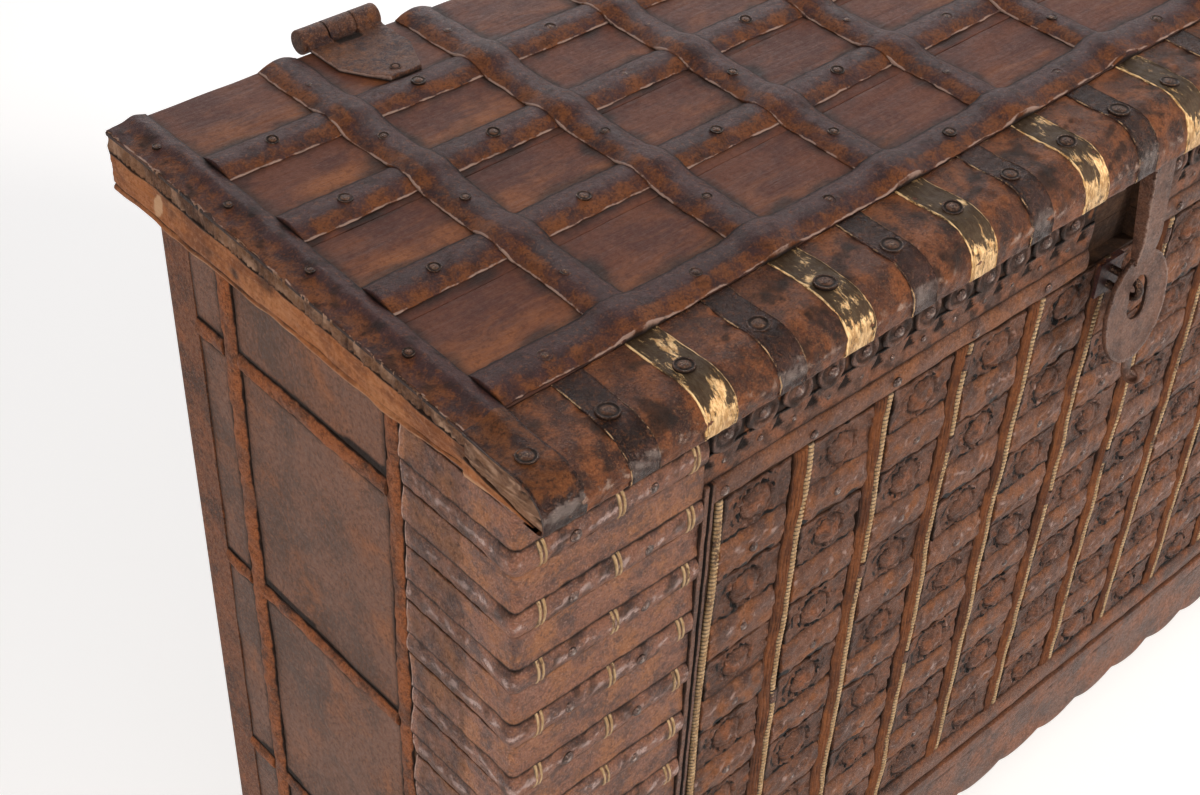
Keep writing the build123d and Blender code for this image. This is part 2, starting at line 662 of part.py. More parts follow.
def panel_run():
    """Start and end of the wide side panel between the two uprights, along the side."""
    start = FRONT_UPRIGHT_S + FRONT_UPRIGHT_WIDTH / 2
    end = BACK_UPRIGHT_S - BACK_UPRIGHT_WIDTH / 2
    return start + DRESSING_GAP, end - DRESSING_GAP


def narrow_run():
    start = BACK_UPRIGHT_S + BACK_UPRIGHT_WIDTH / 2
    return start + DRESSING_GAP, CASE_DEPTH - SHEATH_WIDTH - DRESSING_GAP


def side_sheets():
    """Flat sheets of the right side between the straps, in the wide and the narrow run."""
    edges = [RIM_Z] + side_strap_zs()
    sheets = []
    for run in (panel_run(), narrow_run()):
        for upper, lower in zip(edges[:-1], edges[1:]):
            top = upper - (0 if upper == RIM_Z else SIDE_STRAP_HEIGHT / 2 + DRESSING_GAP)
            bottom = lower + SIDE_STRAP_HEIGHT / 2 + DRESSING_GAP
            sheet = slab((-0.5 * (run[1] - run[0]), 0.5 * (run[1] - run[0])), (-SHEET_THICKNESS, 0), (bottom, top))
            sheets.append(on_right_side(sheet, (run[0] + run[1]) / 2, 0))
    return sheets


def side_straps():
    """Half-round straps of the right side: two uprights, and the cross straps between them."""
    straps = []
    for distance, width in ((BACK_UPRIGHT_S, BACK_UPRIGHT_WIDTH), (FRONT_UPRIGHT_S, FRONT_UPRIGHT_WIDTH)):
        bar = UPRIGHT_ON_FRONT * arch_bar(SIDE_HEIGHT, width, UPRIGHT_RISE)
        straps.append(on_right_side(bar, distance, SIDE_MIDDLE_Z))
    for run in (panel_run(), narrow_run()):
        bar = ON_FRONT * arch_bar(run[1] - run[0], SIDE_STRAP_HEIGHT, SIDE_STRAP_RISE)
        straps += [on_right_side(bar, (run[0] + run[1]) / 2, z) for z in side_strap_zs()]
    return straps


def back_corner_sheaths():
    """Sheet iron folded round each back corner."""
    z = (LEG_HEIGHT + SILL_RECESS, RIM_Z)
    side = HALF_CASE + SHEATH_THICKNESS
    back = BACK_Y + SHEATH_THICKNESS
    inner = (HALF_CASE - SHEATH_WIDTH, BACK_Y - SHEATH_WIDTH)
    outer = rounded_block((inner[0], side), (inner[1], back), z, (side, back), CORNER_RADIUS + SHEATH_THICKNESS)
    core = rounded_block((0, HALF_CASE), (0, BACK_Y), (0, RIM_Z + 1), (HALF_CASE, BACK_Y), CORNER_RADIUS)
    right = outer - core
    return [right] + flipped([right])


# ------------------------------------------------------------------ lid
def nose_face(cover):
    """The nose's (y, z) section, grown outwards by cover on its top, roll and front."""
    front = LID_FRONT_Y + NOSE_COVER - cover
    top = LID_TOP_Z + cover - NOSE_COVER
    radius = NOSE_RADIUS + cover
    low = NOSE_LOWER_RADIUS
    roll = math.cos(math.pi / 4) * radius
    heel = (1 - math.cos(math.pi / 4)) * low
    outline = [
        Line((NOSE_BACK_Y, LID_UNDER_Z), (front + low, LID_UNDER_Z)),
        ThreePointArc((front + low, LID_UNDER_Z), (front + heel, LID_UNDER_Z + heel), (front, LID_UNDER_Z + low)),
        Line((front, LID_UNDER_Z + low), (front, top - radius)),
        ThreePointArc((front, top - radius), (front + radius - roll, top - radius + roll), (front + radius, top)),
        Line((front + radius, top), (NOSE_BACK_Y, top)),
        Line((NOSE_BACK_Y, top), (NOSE_BACK_Y, LID_UNDER_Z)),
    ]
    return Plane.YZ * make_face(outline)


def nose_shell(inner, outer, x):
    """Sheet that follows the nose between two covers, over the given run of X."""
    return Pos(x[0], 0, 0) * extrude(nose_face(outer) - nose_face(inner), amount=x[1] - x[0])


def nose_rail():
    return Pos(-HALF_LID, 0, 0) * extrude(nose_face(0), amount=LID_LENGTH)


def lid_boards():
    depth = (LID_BACK_Y - NOSE_BACK_Y) / LID_PLANKS
    z = (LID_BOARD_Z, LID_TOP_Z)
    starts = [NOSE_BACK_Y + index * depth for index in range(LID_PLANKS)]
    return [slab((-HALF_LID, HALF_LID), (y + PLANK_GAP, y + depth), z) for y in starts]


def end_rail(side):
    x = sorted((side * END_RAIL_X, side * (END_RAIL_X - RAIL_WIDTH)))
    y = (NOSE_BACK_Y + PLANK_GAP, LID_BACK_Y - RAIL_WIDTH)
    return slab(x, y, (LID_UNDER_Z, LID_BOARD_Z))


def end_fascias():
    """Boards over the lid's ends, deeper than the rails that they cover."""
    y = (NOSE_BACK_Y + PLANK_GAP, LID_BACK_Y)
    right = slab((END_RAIL_X, HALF_LID), y, (LID_UNDER_Z - FASCIA_DROP, LID_BOARD_Z))
    return [right] + flipped([right])


def back_rail():
    y = (LID_BACK_Y - RAIL_WIDTH, LID_BACK_Y)
    return slab((-END_RAIL_X, END_RAIL_X), y, (LID_UNDER_Z, LID_BOARD_Z))


def saddle(width, grow=0.0):
    """The raised hump of a strap that passes over another one: along X, base on the XY plane."""
    length = STRAP_WIDTH + 2 * SADDLE_SLOPE
    rise = 2 * STRAP_RISE + grow
    flat = length / 2 - SADDLE_SLOPE
    side = Polyline((-length / 2, 0), (-flat, rise), (flat, rise), (length / 2, 0), close=True)
    hump = extrude(Plane.XZ * make_face(side), amount=width, both=True)
    return hump & arch_bar(length, width + 2 * grow, rise)


def row_bars(rows):
    """The long straps as cutters, a clearance larger than they are."""
    grow = STRAP_CLEARANCE
    return [
        Pos(0, y, LID_TOP_Z) * arch_bar(LID_LENGTH, STRAP_WIDTH + 2 * grow, STRAP_RISE + grow) for y in rows
    ]


def cross_strap():
    """One strap across the lid at x = 0: it ends under the front long strap and humps over the rest."""
    start = STRAP_ROW_YS[0] - STRAP_WIDTH / 2
    length = LID_BACK_Y - start
    bar = Pos(0, start + length / 2, LID_TOP_Z) * Rot(0, 0, 90) * arch_bar(length, STRAP_WIDTH, STRAP_RISE)
    for y in STRAP_ROW_YS[1:]:
        bar += Pos(0, y, LID_TOP_Z) * Rot(0, 0, 90) * saddle(STRAP_WIDTH)
    for cutter in row_bars(STRAP_ROW_YS[1:]):
        bar -= cutter
    return bar


def cross_straps():
    strap = cross_strap()
    return [Pos(x, 0, 0) * strap for x in CROSS_STRAP_XS]


def edge_straps():
    """The end straps, from behind the nose to the back edge."""
    start = NOSE_BACK_Y
    length = LID_BACK_Y - start
    bar = Rot(0, 0, 90) * arch_bar(length, EDGE_STRAP_WIDTH, STRAP_RISE)
    return [Pos(side * EDGE_STRAP_X, start + length / 2, LID_TOP_Z) * bar for side in (-1, 1)]


def long_straps():
    """Straps along the lid. The front one humps over the ends of the cross straps."""
    length = LID_LENGTH - 2 * (EDGE_STRAP_WIDTH + DRESSING_GAP)
    plain = arch_bar(length, STRAP_WIDTH, STRAP_RISE)
    straps = [Pos(0, y, LID_TOP_Z) * plain for y in STRAP_ROW_YS[1:]]
    front = Pos(0, STRAP_ROW_YS[0], LID_TOP_Z) * plain
    for x in CROSS_STRAP_XS:
        front += Pos(x, STRAP_ROW_YS[0], LID_TOP_Z) * saddle(STRAP_WIDTH)
    run = LID_BACK_Y - STRAP_ROW_YS[0]
    end = arch_bar(run, STRAP_WIDTH + 2 * STRAP_CLEARANCE, STRAP_RISE + STRAP_CLEARANCE)
    start = STRAP_ROW_YS[0] - STRAP_WIDTH / 2 - STRAP_CLEARANCE
    for x in CROSS_STRAP_XS:
        front -= Pos(x, start + run / 2, LID_TOP_Z) * Rot(0, 0, 90) * end
    return straps + [solid for solid in front.solids() if solid.volume > STRAP_WIDTH**2]


def clear_of_front_strap(shapes):
    """The nose's covers stop in front of the front long strap."""
    behind = slab((-LID_LENGTH, LID_LENGTH), (NOSE_STOP_Y, LID_BACK_Y), (LID_TOP_Z - 1, LID_TOP_Z + CUTTER_REACH))
    return [shape - behind for shape in shapes]


NOSE_STOP_Y = STRAP_ROW_YS[0] - STRAP_WIDTH / 2 - DRESSING_GAP


def nose_plates():
    """Sheet iron over the nose, one plate from the middle of each strap to the next."""
    inner = sorted(CROSS_STRAP_XS + BAY_XS)
    edges = [-HALF_LID] + inner + [HALF_LID]
    return [
        nose_shell(0, NOSE_PLATE_THICKNESS, (low + PLATE_GAP / 2, high - PLATE_GAP / 2))
        for low, high in zip(edges[:-1], edges[1:])
    ]


def nose_strap(x, width):
    return nose_shell(NOSE_PLATE_THICKNESS, NOSE_COVER, (x - width / 2, x + width / 2))


def nose_straps_brass():
    return [nose_strap(x, BRASS_STRAP_WIDTH) for x in CROSS_STRAP_XS]


def nose_straps_iron():
    """The iron straps between the brass ones, and the wider irons on the lid's two front corners."""
    corners = [nose_strap(side * EDGE_STRAP_X, EDGE_STRAP_WIDTH) for side in (-1, 1)]
    return [nose_strap(x, IRON_STRAP_WIDTH) for x in BAY_XS] + corners


def strap_nails():
    """A small head on each length of strap between two crossings, and on each hinge leaf."""
    head = dome(SMALL_HEAD_RADIUS, SMALL_HEAD_RISE)
    z = LID_TOP_Z + STRAP_RISE - DRESSING_GAP / 2
    rows = STRAP_ROW_YS + [LID_BACK_Y]
    middles = [(front + back) / 2 for front, back in zip(rows[:-1], rows[1:])]
    straps = group([cross_strap()])
    cross_head = [Pos(0, y, z) * head - straps for y in middles]
    heads = [Pos(x, 0, 0) * one for x in CROSS_STRAP_XS for one in cross_head]
    heads += [Pos(side * EDGE_STRAP_X, 0, 0) * one for side in (-1, 1) for one in cross_head]
    long_head = head - Pos(0, 0, -STRAP_RISE + DRESSING_GAP / 2) * arch_bar(BAY, STRAP_WIDTH, STRAP_RISE)
    heads += [Pos(x, y, z) * long_head for x in BAY_XS for y in STRAP_ROW_YS]
    leaf_y = LID_BACK_Y - LEAF_LENGTH + 2 * SMALL_HEAD_RADIUS
    heads += [Pos(x, leaf_y, LID_TOP_Z + LEAF_THICKNESS) * head for x in hinge_xs()]
    return heads


def nose_nails():
    """A large head on each nose strap."""
    head = dome(LARGE_HEAD_RADIUS, LARGE_HEAD_RISE)
    xs = CROSS_STRAP_XS + BAY_XS + [-EDGE_STRAP_X, EDGE_STRAP_X]
    return [Pos(x, LID_FRONT_Y + NOSE_NAIL_SETBACK, LID_TOP_Z) * head for x in xs]


# ------------------------------------------------------------------ hinges
def hinge_xs():
    """Each hinge lies in the middle of a bay, between two cross straps."""
    return BAY_XS[HINGE_BAY], BAY_XS[-1 - HINGE_BAY]


def barrel(radius, x):
    """A round bar along the hinge's axis over the given run of X, about the hinge's own middle."""
    length = x[1] - x[0]
    return Pos((x[0] + x[1]) / 2, HINGE_Y, HINGE_Z) * Rot(0, 90, 0) * Cylinder(radius, length)


def upper_leaf():
    """The lid's leaf, on the boards, with its two outer knuckles; built at x = 0."""
    half = LEAF_WIDTH / 2
    tip = LEAF_TIP_WIDTH / 2
    outline = make_face(
        Polyline(
            (-half, HINGE_Y),
            (-half, LID_BACK_Y - LEAF_SHOULDER),
            (-tip, LID_BACK_Y - LEAF_LENGTH),
            (tip, LID_BACK_Y - LEAF_LENGTH),
            (half, LID_BACK_Y - LEAF_SHOULDER),
            (half, HINGE_Y),
            close=True,
        )
    )
    leaf = Pos(0, 0, LID_TOP_Z) * extrude(outline, amount=LEAF_THICKNESS)
    inner = MIDDLE_KNUCKLE / 2 + KNUCKLE_GAP
    for x in ((-BARREL_LENGTH / 2, -inner), (inner, BARREL_LENGTH / 2)):
        leaf += barrel(BARREL_RADIUS, x)
    reach = BARREL_RADIUS + KNUCKLE_GAP + LEAF_THICKNESS / 2
    leaf -= slab((-inner, inner), (HINGE_Y - reach, HINGE_Y + reach), (HINGE_Z - reach, HINGE_Z + reach))
    return leaf - barrel(PIN_RADIUS + PIN_CLEARANCE, (-BARREL_LENGTH, BARREL_LENGTH))


def lower_leaf():
    """The case's leaf: a middle knuckle, a cranked tongue behind the lid, and a plate on the back."""
    half = MIDDLE_KNUCKLE / 2
    back = HINGE_Y - TONGUE_INSET
    front = back - LEAF_THICKNESS
    plate_top = RIM_Z - LOWER_LEAF_DROP
    crank_top = RIM_Z - CRANK_DROP
    face = BACK_Y + LEAF_THICKNESS
    tongue = prism_x(
        [
            (front, HINGE_Z),
            (front, crank_top),
            (BACK_Y, plate_top),
            (BACK_Y, plate_top - LOWER_LEAF_DROP / 2),
            (face, plate_top - LOWER_LEAF_DROP / 2),
            (face, plate_top - LEAF_THICKNESS / 2),
            (back, crank_top - LEAF_THICKNESS),
            (back, HINGE_Z),
        ],
        (-half, half),
    )
    wide = LOWER_LEAF_WIDTH / 2
    tip = LOWER_LEAF_TIP_WIDTH / 2
    low = plate_top - LOWER_LEAF_LENGTH
    outline = Polyline((-wide, plate_top), (-tip, low), (tip, low), (wide, plate_top), close=True)
    plate = Pos(0, face, 0) * extrude(Plane.XZ * make_face(outline), amount=LEAF_THICKNESS)
    return tongue + plate + barrel(BARREL_RADIUS, (-half, half)) - barrel(PIN_RADIUS, (-CUTTER_REACH, CUTTER_REACH))


def at_hinges(shape):
    return [Pos(x, 0, 0) * shape for x in hinge_xs()]


def hinge_pins():
    return at_hinges(barrel(PIN_RADIUS, (-BARREL_LENGTH / 2 + KNUCKLE_GAP, BARREL_LENGTH / 2 - KNUCKLE_GAP)))


def hinge_nails():
    """Three nail heads on each lower leaf's plate."""
    head = Rot(-90, 0, 0) * dome(SMALL_HEAD_RADIUS, SMALL_HEAD_RISE)
    y = BACK_Y + LEAF_THICKNESS
    top = RIM_Z - LOWER_LEAF_DROP
    spread = LOWER_LEAF_WIDTH / 2 - 2 * SMALL_HEAD_RADIUS
    places = ((-spread, top - LOWER_LEAF_LENGTH / 6), (spread, top - LOWER_LEAF_LENGTH / 6),
              (0, top - LOWER_LEAF_LENGTH * 5 / 6))
    return [Pos(x + dx, y, z) * head for x in hinge_xs() for dx, z in places]


# ------------------------------------------------------------------ hasp and staple
def hasp_barrel(radius, x):
    length = x[1] - x[0]
    return Pos((x[0] + x[1]) / 2, HASP_Y, HASP_Z) * Rot(0, 90, 0) * Cylinder(radius, length)


EAR_INNER = BAR_WIDTH / 2 + EAR_GAP
EAR_OUTER = EAR_INNER + EAR_THICKNESS


def hasp_bracket():
    """Two ears on a plate under the nose."""
    y = (HASP_Y - HASP_KNUCKLE_RADIUS, HASP_Y + HASP_KNUCKLE_RADIUS)
    bracket = slab((-EAR_OUTER, EAR_OUTER), y, (LID_UNDER_Z - BRACKET_THICKNESS, LID_UNDER_Z))
    for x in ((-EAR_OUTER, -EAR_INNER), (EAR_INNER, EAR_OUTER)):
        bracket += slab(x, y, (HASP_Z, LID_UNDER_Z))
        bracket += hasp_barrel(HASP_KNUCKLE_RADIUS, x)
    return bracket - hasp_barrel(HASP_PIN_RADIUS, (-CUTTER_REACH, CUTTER_REACH))


def hasp_pin():
    return hasp_barrel(HASP_PIN_RADIUS, (-EAR_OUTER, EAR_OUTER))


def hasp_side(points, width):
    """A bar of the given width across the hasp, from its side outline of (y, z) points."""
    return prism_x(points, (-width / 2, width / 2))


def hasp():
    """Forged bar from the pin down to a slotted oval plate with a curled tail.

    It is drawn hanging straight down from a pin at the origin and then turned to its lean.
    """
    bar_end = -(DISC_DROP - DISC_HEIGHT / 2) - HASP_KNUCKLE_RADIUS
    plate_front = HASP_BACK - DISC_THICKNESS
    outline = Polyline(
        (-BAR_WIDTH / 2, HASP_KNUCKLE_RADIUS),
        (-BAR_TIP_WIDTH / 2, bar_end),
        (BAR_TIP_WIDTH / 2, bar_end),
        (BAR_WIDTH / 2, HASP_KNUCKLE_RADIUS),
        close=True,
    )
    side = [
        (HASP_BACK, 0),
        (HASP_BACK, bar_end),
        (plate_front, bar_end),
        (HASP_BACK - BAR_TIP_DEPTH, bar_end + 2 * HASP_KNUCKLE_RADIUS),
        (HASP_BACK - BAR_DEPTH, -HASP_KNUCKLE_RADIUS),
        (-HASP_KNUCKLE_RADIUS, 0),
    ]
    bar = hasp_side(side, 2 * BAR_WIDTH) & extrude(Plane.XZ * make_face(outline), amount=BAR_WIDTH, both=True)
    plate = Plane.XZ * Pos(0, -DISC_DROP) * Ellipse(DISC_WIDTH / 2, DISC_HEIGHT / 2)
    plate = Pos(0, HASP_BACK, 0) * extrude(plate, amount=DISC_THICKNESS)
    slot = Plane.XZ * Pos(0, -SLOT_DROP) * Rot(0, 0, 90) * SlotOverall(SLOT_HEIGHT, SLOT_WIDTH)
    knuckle = Rot(0, 90, 0) * Cylinder(HASP_KNUCKLE_RADIUS, BAR_WIDTH)
    curl = Pos(0, TAIL_Y, TAIL_Z) * Rot(0, 90, 0) * Cylinder(TAIL_RADIUS, TAIL_WIDTH)
    neck = hasp_side(
        [
            (HASP_BACK, TAIL_Z),
            (plate_front, TAIL_Z),
            (plate_front, TAIL_Z + 2 * TAIL_RADIUS),
            (HASP_BACK, TAIL_Z + 2 * TAIL_RADIUS),
        ],
        TAIL_WIDTH,
    )
    eye = Pos(0, TAIL_Y, TAIL_Z) * Rot(0, 90, 0) * Cylinder(TAIL_HOLE_RADIUS, 2 * TAIL_WIDTH)
    mouth = slab(
        (-TAIL_WIDTH, TAIL_WIDTH),
        (TAIL_Y - TAIL_HOLE_RADIUS, TAIL_Y + TAIL_HOLE_RADIUS),
        (TAIL_Z, TAIL_Z + 2 * TAIL_RADIUS),
    )
    body = bar + plate + knuckle + (curl + neck - eye - mouth)
    body -= extrude(slot, amount=DISC_WIDTH, both=True)
    body -= Rot(0, 90, 0) * Cylinder(HASP_PIN_RADIUS + PIN_CLEARANCE, 2 * BAR_WIDTH)
    return Pos(0, HASP_Y, HASP_Z) * Rot(-HASP_LEAN, 0, 0) * body


def staple():
    """A round bar bent to a loop that stands out through the hasp's slot."""
    spread = STAPLE_HEIGHT / 2 - STAPLE_ROD_RADIUS
    root = FRONT_Y - STAPLE_PLATE_RISE
    bend = STAPLE_TIP_Y + STAPLE_HEIGHT / 2
    upper = Edge.make_line((0, root, STAPLE_Z + spread), (0, bend, STAPLE_Z + spread))
    tip = ThreePointArc(
        (0, bend, STAPLE_Z + spread), (0, bend - spread, STAPLE_Z), (0, bend, STAPLE_Z - spread)
    )
    lower = Edge.make_line((0, bend, STAPLE_Z - spread), (0, root, STAPLE_Z - spread))
    section = Plane(origin=(0, root, STAPLE_Z + spread), z_dir=(0, -1, 0)) * Circle(STAPLE_ROD_RADIUS)
    return sweep(section, path=Wire([upper, tip, lower]))


# ------------------------------------------------------------------ nodes
def right_bands(shape):
    return [Pos(0, 0, foot) * shape for foot in band_feet()]


def all_nodes():
    bands = right_bands(corner_band())
    mouldings = right_bands(Pos(0, 0, LOWER_HEIGHT) * corner_moulding())
    sheets = side_sheets()
    straps = side_straps()
    nodes = {
        "corner_post_front_left": [corner_post(-1, -1)],
        "corner_post_front_right": [corner_post(1, -1)],
        "corner_post_back_left": [corner_post(-1, 1)],
        "corner_post_back_right": [corner_post(1, 1)],
        "front_boards": front_boards(),
        "back_boards": wall_planks(BETWEEN_POSTS_X, (BACK_Y - WALL_THICKNESS, BACK_Y)),
        "left_boards": side_boards(-1),
        "right_boards": side_boards(1),
        "floor_boards": floor_boards(),
        "top_rail_front": [
            long_rail((FRONT_Y, FRONT_Y + TOP_RAIL_THICKNESS), (WALL_TOP_Z, RIM_Z)) - lock_recess()
        ],
        "top_rail_back": [long_rail((BACK_Y - TOP_RAIL_THICKNESS, BACK_Y), (WALL_TOP_Z, RIM_Z))],
        "top_rails_side": side_rails(TOP_RAIL_THICKNESS, (WALL_TOP_Z, RIM_Z)),
        "sill_front": [
            long_rail((FRONT_Y, FRONT_Y + SILL_THICKNESS), (LEG_HEIGHT + SILL_RECESS, APRON_TOP_Z))
        ],
        "sill_back": [
            long_rail((BACK_Y - SILL_THICKNESS, BACK_Y), (LEG_HEIGHT + SILL_RECESS, APRON_TOP_Z))
        ],
        "sills_side": side_rails(SILL_THICKNESS, (LEG_HEIGHT + SILL_RECESS, APRON_TOP_Z)),
        "corner_bands_right": bands,
        "corner_bands_left": flipped(bands),
        "corner_mouldings_right": mouldings,
        "corner_mouldings_left": flipped(mouldings),
        "corner_clips": corner_clips(),
        "corner_nails": corner_nails(),
        "frieze_strip": frieze_strip(),
        "frieze_nails": frieze_nails(),
        "border_strap": border_strap(),
        "edge_bars": edge_bars(),
        "embossed_squares": embossed_squares(),
        "cross_bands": cross_bands(),
        "battens": battens(),
        "bead_strips": bead_strips(),
        "panel_nails": panel_nails(),
        "apron_moulding": [apron_moulding()],
        "apron_board": [apron_board()],
        "side_sheets_right": sheets,
        "side_sheets_left": flipped(sheets),
        "side_straps_right": straps,
        "side_straps_left": flipped(straps),
        "back_corner_sheaths": back_corner_sheaths(),
        "staple": [staple()],
        "staple_plate": [staple_boss()],
        "hinge_leaves_lower": at_hinges(lower_leaf()),
        "hinge_pins": hinge_pins(),
        "hinge_nails": hinge_nails(),
        "lid_boards": lid_boards(),
        "end_rail_left": [end_rail(-1)],
        "end_rail_right": [end_rail(1)],
        "nose_rail": [nose_rail()],
        "end_fascias": end_fascias(),
        "back_rail": [back_rail()],
        "cross_straps": cross_straps(),
        "long_straps": long_straps(),
        "edge_straps": edge_straps(),
        "nose_plates": clear_of_front_strap(nose_plates()),
        "nose_straps_brass": clear_of_front_strap(nose_straps_brass()),
        "nose_straps_iron": clear_of_front_strap(nose_straps_iron()),
        "strap_nails": strap_nails(),
        "nose_nails": nose_nails(),
        "hinge_leaves_upper": at_hinges(upper_leaf()),
        "hasp_bracket": [hasp_bracket()],
        "hasp_pin": [hasp_pin()],
        "hasp": [hasp()],
    }
    return nodes


os.makedirs("parts", exist_ok=True)
for node, shapes in all_nodes().items():
    export_step(group(shapes), f"parts/{node}.step")
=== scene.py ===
import json
import math

import bpy
import numpy as np
from mathutils import Matrix, Vector


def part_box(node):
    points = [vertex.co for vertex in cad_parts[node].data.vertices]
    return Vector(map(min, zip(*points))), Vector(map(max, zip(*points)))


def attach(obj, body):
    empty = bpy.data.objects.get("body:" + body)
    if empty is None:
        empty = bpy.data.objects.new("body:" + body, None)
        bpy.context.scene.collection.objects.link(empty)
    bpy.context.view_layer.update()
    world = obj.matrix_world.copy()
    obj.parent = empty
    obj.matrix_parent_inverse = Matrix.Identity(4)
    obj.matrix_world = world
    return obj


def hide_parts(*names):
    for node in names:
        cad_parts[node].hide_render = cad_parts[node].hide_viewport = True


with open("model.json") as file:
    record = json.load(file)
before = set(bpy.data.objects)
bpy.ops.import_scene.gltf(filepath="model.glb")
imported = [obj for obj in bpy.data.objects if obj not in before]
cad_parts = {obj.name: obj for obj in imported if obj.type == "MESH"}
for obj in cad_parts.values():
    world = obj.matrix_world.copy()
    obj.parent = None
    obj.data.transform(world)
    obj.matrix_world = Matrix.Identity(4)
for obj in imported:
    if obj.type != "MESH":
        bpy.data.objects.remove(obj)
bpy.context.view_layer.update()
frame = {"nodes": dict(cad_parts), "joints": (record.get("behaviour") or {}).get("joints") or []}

# Metres, in the frame of the part: X along the chest, front towards -Y, Z up from the floor.
MM = 0.001
SIDES = (-1, 1)
WORDS = ("left", "right")

# ------------------------------------------------------------------ places read from the frame
HALF_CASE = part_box("sills_side")[1].x
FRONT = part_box("front_boards")[0].y
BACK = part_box("back_boards")[1].y
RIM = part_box("top_rail_front")[1].z
APRON_LOW, APRON_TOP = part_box("apron_board")[0].z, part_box("apron_board")[1].z
APRON_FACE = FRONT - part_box("apron_board")[0].y
SILL_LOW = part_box("sill_front")[0].z
PANEL_LOW, PANEL_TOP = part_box("bead_strips")[0].z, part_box("bead_strips")[1].z
BORDER_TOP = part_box("edge_bars")[1].z
FRIEZE_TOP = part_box("frieze_strip")[1].z
HALF_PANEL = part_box("edge_bars")[1].x
BEAD_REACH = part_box("bead_strips")[1].x - 4 * MM
BAND_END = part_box("corner_bands_right")[1].y - FRONT

HALF_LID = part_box("lid_boards")[1].x
LID_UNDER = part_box("back_rail")[0].z
LID_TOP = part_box("lid_boards")[1].z
BOARD_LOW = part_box("lid_boards")[0].z
LID_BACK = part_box("back_rail")[1].y
NOSE_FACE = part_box("nose_straps_brass")[0].y
NOSE_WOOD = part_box("nose_rail")[0].y
NOSE_WOOD_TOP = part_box("nose_rail")[1].z
NOSE_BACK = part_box("nose_rail")[1].y
NOSE_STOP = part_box("nose_plates")[1].y

JOINTS = {joint["name"]: joint for joint in frame["joints"]}
HINGE = Vector(JOINTS["lid_hinge"]["pos_m"])
HASP = Vector(JOINTS["hasp_hinge"]["pos_m"])

# ------------------------------------------------------------------ sizes of the dressing
COLUMNS = 10
ROWS = 7
BEAD_WIDTH = 8 * MM
BEAD_RISE = 4 * MM
BEAD_PITCH = 4.6 * MM
BATTEN_WIDTH = 15.6 * MM
BATTEN_RISE = 5.5 * MM
SQUARE_HEIGHT = 50 * MM
PANEL_MARGIN = 3 * MM
BATTEN_SPACE = 16 * MM
SEAM = 0.4 * MM
COLUMN_PITCH = 2 * BEAD_REACH / COLUMNS
SQUARE_WIDTH = COLUMN_PITCH - BEAD_WIDTH - BATTEN_SPACE - 2 * SEAM
ROW_PITCH = (PANEL_TOP - PANEL_LOW - SQUARE_HEIGHT - 2 * PANEL_MARGIN) / (ROWS - 1)
BEAD_XS = [(k - COLUMNS / 2) * COLUMN_PITCH for k in range(COLUMNS + 1)]
SQUARE_ZS = [PANEL_TOP - PANEL_MARGIN - SQUARE_HEIGHT / 2 - r * ROW_PITCH for r in range(ROWS)]
COLUMN_XS = [x + BEAD_WIDTH / 2 + SEAM + SQUARE_WIDTH / 2 for x in BEAD_XS[:-1]]

LOBE_PITCH = 39.6 * MM
LOBE_RADIUS = 18 * MM
BREAK_HALF = 42 * MM

BANDS = 13
BAND_PITCH = (RIM - APRON_TOP) / BANDS
LOWER_HEIGHT = 0.56 * BAND_PITCH
ROUND_HEIGHT = BAND_PITCH - LOWER_HEIGHT - 1 * MM
CORNER_RADIUS = 6 * MM

BAYS = 10
STRAP_WIDTH = 39 * MM
STRAP_RISE = 6 * MM
FLANGE = 0.9 * MM
EDGE_STRAP_WIDTH = 38 * MM
EDGE_STRAP_X = HALF_LID - EDGE_STRAP_WIDTH / 2
BAY = 2 * EDGE_STRAP_X / BAYS
CROSS_XS = [(k - BAYS / 2) * BAY for k in range(1, BAYS)]
BAY_XS = [(k - (BAYS - 1) / 2) * BAY for k in range(BAYS)]
ROW_YS = [NOSE_FACE + row * MM for row in (106.0, 230.0, 338.5, 436.0)]
BRASS_WIDTH = 32 * MM
IRON_WIDTH = 29 * MM
NOSE_RADIUS = 34 * MM
NOSE_LOWER_RADIUS = 5 * MM

# ------------------------------------------------------------------ mesh making
# Tones painted on each mesh. The dark one is grime together with painted shade in seams, gaps, hollows and
# under lips; the light one is rubbing together with painted highlights on crowns, rims and crests.
TONES = ("rust", "edge", "soot", "worn", "tear")


def ripple(points, size, seed):
    """Smooth unevenness from about -1 to 1 that changes over about the given size in metres."""
    random = np.random.default_rng(seed)
    total = np.zeros(points.shape[:-1])
    for _ in range(7):
        direction = random.normal(size=3)
        direction *= random.uniform(0.6, 1.7) / np.linalg.norm(direction)
        total += np.sin(points @ direction * 2 * math.pi / size + random.uniform(0, 2 * math.pi))
    return total / 3.0


def uneven(u, v, size, seed):
    """The same over a surface, for a size in millimetres."""
    u, v = np.broadcast_arrays(u, v)
    return ripple(np.stack([u, v, 0 * u], axis=-1), size * MM, seed)


def blotched(middle, reach, size, seed):
    """A tone that wavers by its reach to either side of its middle, in blotches of a size in millimetres."""
    return lambda u, v: middle + reach * uneven(u, v, size, seed)


def smooth(low, high, value):
    t = np.clip((value - low) / (high - low), 0, 1)
    return t * t * (3 - 2 * t)


def bump(value, centre, half):
    """1 at the centre and 0 beyond half either side of it."""
    return smooth(1, 0, np.abs(value - centre) / half)


def halved(low, high):
    """Middle of a span, and half its width."""
    return (low + high) / 2, (high - low) / 2


def stations(start, end, step, turn=0):
    """Places about a step apart, with three at each end of a turned edge. Step and turn are in millimetres,
    or in thousandths where the places are shares from 0 to 1."""
    count = max(2, int(abs(end - start) / (step * MM)) + 1)
    if not turn:
        return np.linspace(start, end, count)
    turn *= MM
    inner = np.linspace(start + turn, end - turn, count)
    return np.concatenate([[start, start, start + 0.3 * turn], inner, [end - 0.3 * turn, end, end]])


